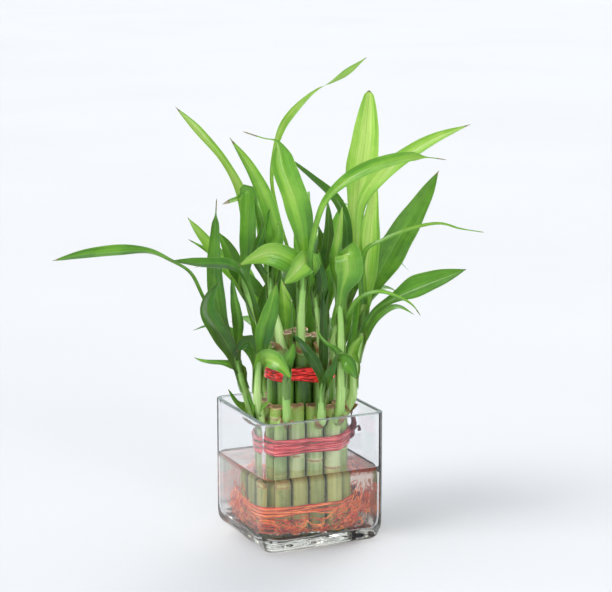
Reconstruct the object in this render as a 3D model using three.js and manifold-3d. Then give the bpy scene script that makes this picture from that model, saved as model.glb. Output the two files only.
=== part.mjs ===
// Lucky bamboo in a square glass vase. Two tiers of cut canes, each bound by a red
// ribbon, stand in water in a nest of orange roots, and leafy shoots grow from the sides
// of the canes. Millimetres, +Z up. The origin is the centre of the vase's underside, and
// the vase's sides run along X and Y.
import * as THREE from "three";
import { mergeVertices } from "three/addons/utils/BufferGeometryUtils.js";
import Module from "manifold-3d";

// Driving dimensions
const GAP = 0.3; // between pieces that touch
const VASE_WIDTH = 100;
const VASE_HEIGHT = 102;
const WALL = 3.3;
const FLOOR = 10;
const VASE_CORNER = 7;
const WATER_LEVEL = 58;
const CANE_RADIUS = 6.4;
const CANE_PITCH = 13.6;
const CANE_NODE_SPACING = 52;
const CANE_NODE_RISE = 0.3;
const LOWER_TOP = 109;
const UPPER_TOP = 163;
const STEM_FOOT_RADIUS = 3.9;
const STEM_TOP_RADIUS = 2.4;
const BLADE_THICKNESS = 0.7;
const BLADE_STATION = 19; // length of blade between two cross sections
const RIBBON_THICKNESS = 1.3;
const ROOT_RADIUS = 0.8;
const ROOT_POCKET = { offset: 19, top: 47 }; // room for the roots in the water

// The bunch is turned in its vase. Plant positions are across, deep and up: across runs
// to the right of the turned bunch, and deep runs away from its front.
const PLANT_TURN = THREE.MathUtils.degToRad(-24.7);
const ROW_TURN = THREE.MathUtils.degToRad(6);
const BUNCH = { across: 2.5, deep: -4 };

const CANE_SIDES = 8;
const STEM_SIDES = 6;
const BAND_STEPS = 32;
const UP = new THREE.Vector3(0, 0, 1);

const wasm = await Module();
wasm.setup();

const root = new THREE.Group();
const plant = new THREE.Group();
plant.rotation.z = PLANT_TURN;
root.add(plant);

// Solids

// The triangles of a closed solid through a row of rings. The rings have the same number
// of points, which run right-handed about the way of travel. The two halves of a ring are
// split along mirrored diagonals, so that both faces of a thin blade bend alike, and each
// end is closed by a ladder of quads.
function loft(rings) {
  const count = rings[0].length;
  const last = (rings.length - 1) * count;
  const index = [];
  for (let i = 0; i < rings.length - 1; i++) {
    for (let k = 0; k < count; k++) {
      const a = i * count + k;
      const b = i * count + ((k + 1) % count);
      const c = b + count;
      const d = a + count;
      if (k < count / 2) index.push(a, b, c, a, c, d);
      else index.push(a, b, d, b, c, d);
    }
  }
  for (let k = 0; k < count / 2 - 1; k++) {
    const far = count - 1 - k;
    index.push(k, far, k + 1, far, far - 1, k + 1);
    index.push(last + k, last + k + 1, last + far, last + far, last + k + 1, last + far - 1);
  }
  return solid(rings.flat(), index);
}

// A closed solid through rings that run round and meet again.
function loop(rings) {
  const count = rings[0].length;
  const index = [];
  for (let i = 0; i < rings.length; i++) {
    const next = (i + 1) % rings.length;
    for (let k = 0; k < count; k++) {
      const a = i * count + k;
      const b = i * count + ((k + 1) % count);
      const c = next * count + ((k + 1) % count);
      const d = next * count + k;
      index.push(a, b, c, a, c, d);
    }
  }
  return solid(rings.flat(), index);
}

function solid(points, index) {
  const geometry = new THREE.BufferGeometry().setFromPoints(points);
  geometry.setIndex(index);
  const merged = mergeVertices(geometry, 1e-4);
  return new wasm.Manifold(
    new wasm.Mesh({
      numProp: 3,
      vertProperties: merged.attributes.position.array,
      triVerts: new Uint32Array(merged.index.array),
    }),
  );
}

// The largest body of a solid. Cutting can leave a loose scrap, which is dropped.
function largest(body) {
  return body.decompose().reduce((best, next) => (next.volume() > best.volume() ? next : best));
}

function join(solids) {
  return solids.reduce((sum, next) => sum.add(next));
}

function addPiece(group, name, body, colour, roughness) {
  const mesh = body.getMesh();
  const geometry = new THREE.BufferGeometry();
  geometry.setAttribute("position", new THREE.BufferAttribute(mesh.vertProperties, 3));
  geometry.setIndex(new THREE.BufferAttribute(mesh.triVerts, 1));
  geometry.computeVertexNormals();
  const material = new THREE.MeshStandardMaterial({ color: colour, roughness, metalness: 0 });
  const piece = new THREE.Mesh(geometry, material);
  piece.name = name;
  group.add(piece);
}

function curveThrough(points) {
  return new THREE.CatmullRomCurve3(points.map((p) => new THREE.Vector3(...p)));
}

// A round tube along a curve, with a radius for each share of its length.
function tube(curve, steps, sides, radiusAt) {
  const frames = curve.computeFrenetFrames(steps, false);
  const rings = [];
  for (let i = 0; i <= steps; i++) {
    const centre = curve.getPointAt(i / steps);
    const radius = radiusAt(i / steps);
    const ring = [];
    for (let k = 0; k < sides; k++) {
      const angle = (2 * Math.PI * k) / sides;
      const point = centre.clone().addScaledVector(frames.normals[i], radius * Math.cos(angle));
      ring.push(point.addScaledVector(frames.binormals[i], radius * Math.sin(angle)));
    }
    rings.push(ring);
  }
  return loft(rings);
}

// Repeatable random numbers from 0 to 1.
function randomSource(seed) {
  let state = seed;
  return () => {
    state = (state * 1664525 + 1013904223) % 4294967296;
    return state / 4294967296;
  };
}

const toVase = (p) => p.clone().applyAxisAngle(UP, PLANT_TURN);
const toPlant = (p) => p.clone().applyAxisAngle(UP, -PLANT_TURN);

// Vase

const HALF = VASE_WIDTH / 2;
const INNER_HALF = HALF - WALL;
const INNER_CORNER = VASE_CORNER - WALL / 2;

// Half widths against height above the underside or the inner floor. Both turn up in a
// round heel.
const OUTER_HEEL = [
  [HALF - 8, 0],
  [HALF - 4, 1],
  [HALF - 1.6, 3.2],
  [HALF - 0.4, 6.4],
  [HALF, 10],
];
const INNER_HEEL = [
  [INNER_HALF - 6, 0],
  [INNER_HALF - 2.6, 1.2],
  [INNER_HALF - 0.7, 3.6],
  [INNER_HALF, 7],
];

// A square with round corners, flat at one height.
function roundedSquare(half, corner, height) {
  const arcSteps = 3;
  const ring = [];
  for (let quarter = 0; quarter < 4; quarter++) {
    const middle = Math.PI / 4 + (quarter * Math.PI) / 2;
    const x = (half - corner) * Math.sign(Math.cos(middle));
    const y = (half - corner) * Math.sign(Math.sin(middle));
    for (let step = 0; step <= arcSteps; step++) {
      const angle = middle + (Math.PI / 2) * (step / arcSteps - 0.5);
      const reach = new THREE.Vector3(Math.cos(angle), Math.sin(angle), 0);
      ring.push(new THREE.Vector3(x, y, height).addScaledVector(reach, corner));
    }
  }
  return ring;
}

function vase() {
  const edge = 0.8;
  const rings = OUTER_HEEL.map(([half, z]) => roundedSquare(half, VASE_CORNER, z));
  rings.push(roundedSquare(HALF, VASE_CORNER, VASE_HEIGHT - edge));
  rings.push(roundedSquare(HALF - edge, VASE_CORNER, VASE_HEIGHT));
  rings.push(roundedSquare(INNER_HALF + edge, INNER_CORNER, VASE_HEIGHT));
  rings.push(roundedSquare(INNER_HALF, INNER_CORNER, VASE_HEIGHT - edge));
  for (const [half, rise] of INNER_HEEL.toReversed())
    rings.push(roundedSquare(half, INNER_CORNER, FLOOR + rise));
  return loft(rings);
}

// The room inside the glass from a floor to a top, a clearance away from the walls.
function glassRoom(clearance, floor, top) {
  const rings = INNER_HEEL.map(([half, rise]) =>
    roundedSquare(half - clearance, INNER_CORNER, floor + rise),
  );
  rings.push(roundedSquare(INNER_HALF - clearance, INNER_CORNER, top));
  return loft(rings);
}

// Canes

// The canes are packed in rows. A place is steps along the row and rows back.
const ROW_STEP = (CANE_PITCH * Math.sqrt(3)) / 2;

function canePlace(step, row) {
  const x = step * CANE_PITCH;
  const y = row * ROW_STEP;
  return {
    across: BUNCH.across + x * Math.cos(ROW_TURN) - y * Math.sin(ROW_TURN),
    deep: BUNCH.deep + x * Math.sin(ROW_TURN) + y * Math.cos(ROW_TURN),
  };
}

// Each cane has its place, the height of one of its nodes above the table, and how far
// its top lies below the top of its tier.
const LOWER_CANES = {
  front_1: { step: -1.5, row: -2, node: 47, lower: 1 },
  front_2: { step: -0.5, row: -2, node: 70, lower: 0 },
  front_3: { step: 0.5, row: -2, node: 66, lower: 0 },
  front_4: { step: 1.5, row: -2, node: 60, lower: 2 },
  left_front: { step: -2, row: -1, node: 52, lower: 3 },
  right_front: { step: 2, row: -1, node: 73, lower: 1 },
  left_back: { step: -2, row: 1, node: 64, lower: 4 },
  right_back: { step: 2, row: 1, node: 45, lower: 0 },
  back_1: { step: -1.5, row: 2, node: 55, lower: 2 },
  back_2: { step: -0.5, row: 2, node: 68, lower: 0 },
  back_3: { step: 0.5, row: 2, node: 49, lower: 3 },
  back_4: { step: 1.5, row: 2, node: 61, lower: 1 },
};
const UPPER_CANES = {
  upper_1: { step: -1, row: -1, node: 42, lower: 0 },
  upper_2: { step: 0, row: -1, node: 30, lower: 2 },
  upper_3: { step: 1, row: -1, node: 36, lower: 9 },
  upper_4: { step: -1.5, row: 0, node: 39, lower: 12 },
  upper_5: { step: -0.5, row: 0, node: 33, lower: 1 },
  upper_6: { step: 0.5, row: 0, node: 44, lower: 5 },
  upper_7: { step: 1.5, row: 0, node: 28, lower: 18 },
  upper_8: { step: -1, row: 1, node: 34, lower: 9 },
  upper_9: { step: 0, row: 1, node: 40, lower: 3 },
  upper_10: { step: 1, row: 1, node: 31, lower: 7 },
};

const CANES = {};
for (const [tier, top] of [
  [LOWER_CANES, LOWER_TOP],
  [UPPER_CANES, UPPER_TOP],
]) {
  for (const [name, { step, row, node, lower }] of Object.entries(tier))
    CANES[name] = { ...canePlace(step, row), node, top: top - lower };
}
const LOWER_PLACES = Object.keys(LOWER_CANES).map((name) => CANES[name]);
const UPPER_PLACES = Object.keys(UPPER_CANES).map((name) => CANES[name]);

// A ring of a cane. A tilt slants it, as pruning shears do.
function caneRing(place, radius, height, tilt = 0) {
  const ring = [];
  for (let k = 0; k < CANE_SIDES; k++) {
    const angle = (2 * Math.PI * k) / CANE_SIDES;
    const x = radius * Math.cos(angle);
    const y = radius * Math.sin(angle);
    ring.push(new THREE.Vector3(place.across + x, place.deep + y, height + tilt * x));
  }
  return ring;
}

// A cane from the vase's floor to its cut top, with a low ridge round it at each node.
function cane(place, tilt) {
  const foot = FLOOR + GAP;
  const plain = 6; // length at each end without a node
  const rings = [caneRing(place, CANE_RADIUS, foot)];
  let height = place.node;
  while (height - CANE_NODE_SPACING > foot + plain) height -= CANE_NODE_SPACING;
  for (; height < place.top - plain; height += CANE_NODE_SPACING) {
    rings.push(caneRing(place, CANE_RADIUS, height - 2));
    rings.push(caneRing(place, CANE_RADIUS + CANE_NODE_RISE, height));
    rings.push(caneRing(place, CANE_RADIUS, height + 1));
  }
  rings.push(caneRing(place, CANE_RADIUS, place.top, tilt));
  return loft(rings);
}

// A plain post that clears a cane on all sides, for cutting back what touches it.
function caneClearance(place) {
  const radius = CANE_RADIUS + CANE_NODE_RISE + GAP;
  const top = place.top + 1 + GAP;
  return loft([caneRing(place, radius, 0), caneRing(place, radius, top)]);
}

const CLEARANCES = join(Object.values(CANES).map(caneClearance));

function addCanes() {
  const random = randomSource(7);
  for (const [name, place] of Object.entries(CANES)) {
    const tilt = 0.16 * (random() - 0.5);
    const colour = name in LOWER_CANES ? 0xa5bc78 : 0x567a34;
    addPiece(plant, `cane_${name}`, cane(place, tilt), colour, 0.5);
  }
}

// Outlines round a tier

// Distance from the middle of the bunch, in one direction, to a cord pulled tight round
// the canes: the nearest of the straight lines that touch the tier from outside.
function tightRadius(places, offset, angle) {
  const lines = 72;
  const grazing = 0.2;
  let nearest = Infinity;
  for (let k = 0; k < lines; k++) {
    const facing = (2 * Math.PI * k) / lines;
    const share = Math.cos(facing - angle);
    if (share < grazing) continue;
    const reaches = places.map(
      (p) =>
        (p.across - BUNCH.across) * Math.cos(facing) + (p.deep - BUNCH.deep) * Math.sin(facing),
    );
    const line = Math.max(...reaches) + CANE_RADIUS + CANE_NODE_RISE + offset;
    nearest = Math.min(nearest, line / share);
  }
  return nearest;
}

function roundBunch(places, offset, angle, height) {
  const radius = tightRadius(places, offset, angle);
  const across = BUNCH.across + radius * Math.cos(angle);
  const deep = BUNCH.deep + radius * Math.sin(angle);
  return new THREE.Vector3(across, deep, height);
}

// A closed section carried round a tier: offset and height pairs, with the outer side
// running down.
function band(places, section, heightAt) {
  const rings = [];
  for (let i = 0; i < BAND_STEPS; i++) {
    const angle = (2 * Math.PI * i) / BAND_STEPS;
    const lift = heightAt(angle);
    rings.push(section.map(([offset, z]) => roundBunch(places, offset, angle, z + lift)));
  }
  return loop(rings);
}

// A prism round the lower tier, in the vase's own axes.
function prism(offset, top) {
  const ringAt = (z) => {
    const ring = [];
    for (let i = 0; i < BAND_STEPS; i++) {
      const angle = (2 * Math.PI * i) / BAND_STEPS;
      ring.push(toVase(roundBunch(LOWER_PLACES, offset, angle, z)));
    }
    return ring;
  };
  return loft([ringAt(0), ringAt(top)]);
}

// Ribbons

// Windings side by side, with grooves between them. They rise by a lift on the right, and
// are tied in a knot with two short ends.
function ribbon(places, { z, lift, height, grooves, knotAngle, knotRadius, tail }) {
  const half = height / 2;
  const section = [
    [GAP, -half],
    [GAP, half],
    [RIBBON_THICKNESS, half],
  ];
  for (let k = 1; k <= grooves; k++) {
    const middle = half - (height * k) / (grooves + 1);
    section.push([0.55 * RIBBON_THICKNESS, middle], [RIBBON_THICKNESS, middle - 0.8]);
  }
  section.push([RIBBON_THICKNESS, -half]);
  const heightAt = (angle) => z + lift * Math.cos(angle);
  const middle = heightAt(knotAngle);
  const at = (turn, offset, rise) =>
    roundBunch(places, 0.6 + offset * tail, knotAngle + turn, middle + rise * tail);
  const knotLine = new THREE.CatmullRomCurve3([at(0, 0.4, -5), at(0, 1.4, 0), at(0, 0.4, 5)]);
  const knot = tube(knotLine, 4, 6, (t) => 1 + (knotRadius - 1) * Math.sin(Math.PI * t));
  const ends = [
    [at(0, 1, 1), at(-0.06, 3, 7), at(-0.1, 2.5, 13), at(-0.08, 3, 18)],
    [at(0, 1, 1), at(0.03, 5, 3), at(0, 8, 5), at(-0.06, 8.5, 2)],
  ].map((points) => tube(new THREE.CatmullRomCurve3(points), 5, 4, () => 1.3));
  return largest(join([band(places, section, heightAt), knot, ...ends]).subtract(CLEARANCES));
}

const LOWER_RIBBON = {
  z: 79, lift: 2.5, height: 10, grooves: 2, knotAngle: -0.1, knotRadius: 3.4, tail: 1,
};
const UPPER_RIBBON = {
  z: 131, lift: 1, height: 10, grooves: 2, knotAngle: 1.9, knotRadius: 3, tail: 0.8,
};
const TIE = {
  z: 29, lift: 1.5, height: 7, grooves: 0, knotAngle: -0.15, knotRadius: 2.6, tail: 0.4,
};

// Roots

const ROOT_FLOOR = FLOOR + GAP;
const ROOT_CLEARANCE = 2.4; // from the glass, for the water round them
const TUFT = { x: 35, y: -36, radius: 5.5, height: 12 };

// A mat lies round the feet of the canes, and strands loop up and out of it. They climb
// higher on the right.
function nest() {
  const random = randomSource(21);
  const mat = [
    [1, 0],
    [1, 9],
    [5, 8],
    [7, 4],
    [5, 0],
  ];
  const strandCount = 17;
  const bends = 5;
  const strands = [];
  for (let s = 0; s < strandCount; s++) {
    const start = (2 * Math.PI * (s + 0.6 * random())) / strandCount;
    const span = (0.7 + 0.9 * random()) * (random() < 0.5 ? -1 : 1);
    const reach = 4.5 + 4 * random();
    const climb = 3 + 13 * random();
    const points = [];
    for (let i = 0; i <= bends; i++) {
      const t = i / bends;
      const swell = Math.sin(Math.PI * t);
      const angle = start + span * t;
      const right = Math.max(0, Math.cos(angle)) ** 2;
      const offset = 3.4 + reach * swell * (0.75 + 0.5 * random() + 0.9 * right);
      const height = ROOT_FLOOR + 4 + swell * (climb + 14 * right * random());
      points.push(roundBunch(LOWER_PLACES, offset, angle, height));
    }
    strands.push(tube(new THREE.CatmullRomCurve3(points), 6, 4, () => ROOT_RADIUS));
  }
  const whole = join([band(LOWER_PLACES, mat, () => ROOT_FLOOR), ...strands]);
  const room = glassRoom(ROOT_CLEARANCE, ROOT_FLOOR, ROOT_POCKET.top - 1).rotate(
    [0, 0, -THREE.MathUtils.radToDeg(PLANT_TURN)],
  );
  const knotAt = roundBunch(LOWER_PLACES, 2, TIE.knotAngle, TIE.z + 4);
  const knotRoom = postRoom(knotAt, 6);
  return largest(
    whole.intersect(room).subtract(tuftRoom(1)).subtract(knotRoom).subtract(CLEARANCES),
  );
}

// A six-sided post that stands clear of something small.
function postRoom(centre, radius) {
  const ringAt = (z) => {
    const ring = [];
    for (let k = 0; k < 6; k++) {
      const angle = (Math.PI * k) / 3;
      const out = new THREE.Vector3(Math.cos(angle), Math.sin(angle), 0);
      ring.push(centre.clone().setZ(z).addScaledVector(out, radius));
    }
    return ring;
  };
  return loft([ringAt(centre.z - radius), ringAt(centre.z + radius)]);
}

// A plain room round the tuft, a clearance wider than its strands.
function tuftRoom(clearance) {
  const radius = TUFT.radius + clearance;
  const ringAt = (z) => {
    const ring = [];
    for (let k = 0; k < 10; k++) {
      const angle = (2 * Math.PI * k) / 10;
      const x = TUFT.x + radius * Math.cos(angle);
      const y = TUFT.y + radius * Math.sin(angle);
      ring.push(toPlant(new THREE.Vector3(x, y, z)));
    }
    return ring;
  };
  return loft([ringAt(FLOOR - 2), ringAt(ROOT_FLOOR + TUFT.height + clearance)]);
}

// A small tuft of pale young roots on the floor near the right corner.
function tuft() {
  const random = randomSource(33);
  const strandCount = 7;
  const lumpRadius = 2.4;
  const around = (radius, angle, rise) =>
    toPlant(
      new THREE.Vector3(
        TUFT.x + radius * Math.cos(angle),
        TUFT.y + radius * Math.sin(angle),
        ROOT_FLOOR + rise,
      ),
    );
  const lump = [0, lumpRadius].map((rise) =>
    [0, 1, 2, 3, 4, 5].map((k) => around(lumpRadius, (Math.PI * k) / 3, rise)),
  );
  const strands = [];
  for (let s = 0; s < strandCount; s++) {
    const angle = (2 * Math.PI * s) / strandCount;
    const reach = (TUFT.radius - 1) * (0.7 + 0.3 * random());
    const rise = (TUFT.height - 3) * (0.3 + 0.7 * random());
    const points = [
      around(0, 0, 1.2),
      around(0.6 * reach, angle, 1.2 + 0.5 * rise),
      around(reach, angle + 0.3 * random(), 1.2 + rise),
      around(0.9 * reach, angle + 0.6, 1.2 + 0.6 * rise),
    ];
    strands.push(tube(new THREE.CatmullRomCurve3(points), 3, 4, () => 0.5));
  }
  return join([loft(lump), ...strands]);
}

// Water

// Water fills the vase to its level. The canes stand in one plain hole through it, and
// the roots lie in a plain pocket under it.
function water() {
  const limit = INNER_HALF - 2;
  const within = loft([
    roundedSquare(limit, INNER_CORNER, 0),
    roundedSquare(limit, INNER_CORNER, ROOT_POCKET.top),
  ]);
  const rootPocket = prism(ROOT_POCKET.offset, ROOT_POCKET.top).intersect(within);
  const tuftPocket = tuftRoom(0.5).rotate([0, 0, THREE.MathUtils.radToDeg(PLANT_TURN)]);
  return largest(
    glassRoom(GAP, FLOOR + GAP, WATER_LEVEL)
      .subtract(prism(1.6, WATER_LEVEL + 1))
      .subtract(rootPocket)
      .subtract(tuftPocket),
  );
}

// Leaves and shoots

// How a blade's width runs along its length: the share of its full width at the foot,
// where it starts to widen, and where it is widest.
const SHAPES = {
  blade: { foot: 0.3, widensAt: 0, widestAt: 0.42 },
  neck: { foot: 0.35, widensAt: 0.35, widestAt: 0.62 },
  long_neck: { foot: 0.3, widensAt: 0.5, widestAt: 0.74 },
  high_neck: { foot: 0.3, widensAt: 0.3, widestAt: 0.68 },
  strap: { foot: 0.7, widensAt: 0, widestAt: 0.3 },
};

// The way that a blade's upper face looks.
const FACINGS = {
  front: new THREE.Vector3(0, -1, 0.15),
  half: new THREE.Vector3(0, -0.7, 0.7),
  up: new THREE.Vector3(0, -0.3, 1),
  left: new THREE.Vector3(-1, -0.2, 0.2),
};
const TIP_WIDTH = 1.2;

function widthShare(shape, t) {
  const { foot, widensAt, widestAt } = SHAPES[shape];
  const rise = foot + (1 - foot) * THREE.MathUtils.smoothstep(t, widensAt, widestAt);
  const past = THREE.MathUtils.clamp((t - widestAt) / (1 - widestAt), 0, 1);
  return rise * (1 - past ** 2) ** 0.9;
}

// A blade along a spine. It is folded along its rib like a shallow gutter, twists evenly
// along its length, and has the same thickness all over.
function leaf(width, shape, facing, foldDegrees, twistDegrees, spine) {
  const curve = curveThrough(spine);
  const steps = THREE.MathUtils.clamp(Math.round(curve.getLength() / BLADE_STATION), 4, 12);
  const fold = Math.sin(THREE.MathUtils.degToRad(foldDegrees));
  const rings = [];
  for (let i = 0; i <= steps; i++) {
    const t = i / steps;
    const tangent = curve.getTangentAt(t);
    const side = tangent.clone().cross(FACINGS[facing]).normalize();
    side.applyAxisAngle(tangent, THREE.MathUtils.degToRad(twistDegrees) * t);
    const up = side.clone().cross(tangent);
    const half = Math.max(TIP_WIDTH, width * widthShare(shape, t)) / 2;
    const at = (share, height) =>
      curve
        .getPointAt(t)
        .addScaledVector(side, half * share)
        .addScaledVector(up, height + half * fold * Math.abs(share));
    rings.push([
      at(-1, BLADE_THICKNESS),
      at(0, BLADE_THICKNESS),
      at(1, BLADE_THICKNESS),
      at(1, 0),
      at(0, 0),
      at(-1, 0),
    ]);
  }
  return loft(rings);
}

// A stem with its leaves, seated on its cane and cut clear of every cane.
function shoot(caneName, stem, leaves) {
  const place = CANES[caneName];
  const seat = [place.across, place.deep, stem[0][2] - 4];
  const curve = curveThrough([seat, ...stem]);
  const steps = THREE.MathUtils.clamp(Math.round(curve.getLength() / BLADE_STATION), 4, 9);
  const body = tube(curve, steps, STEM_SIDES, (t) =>
    THREE.MathUtils.lerp(STEM_FOOT_RADIUS, STEM_TOP_RADIUS, t),
  );
  return largest(join([body, ...leaves]).subtract(CLEARANCES));
}

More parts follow.
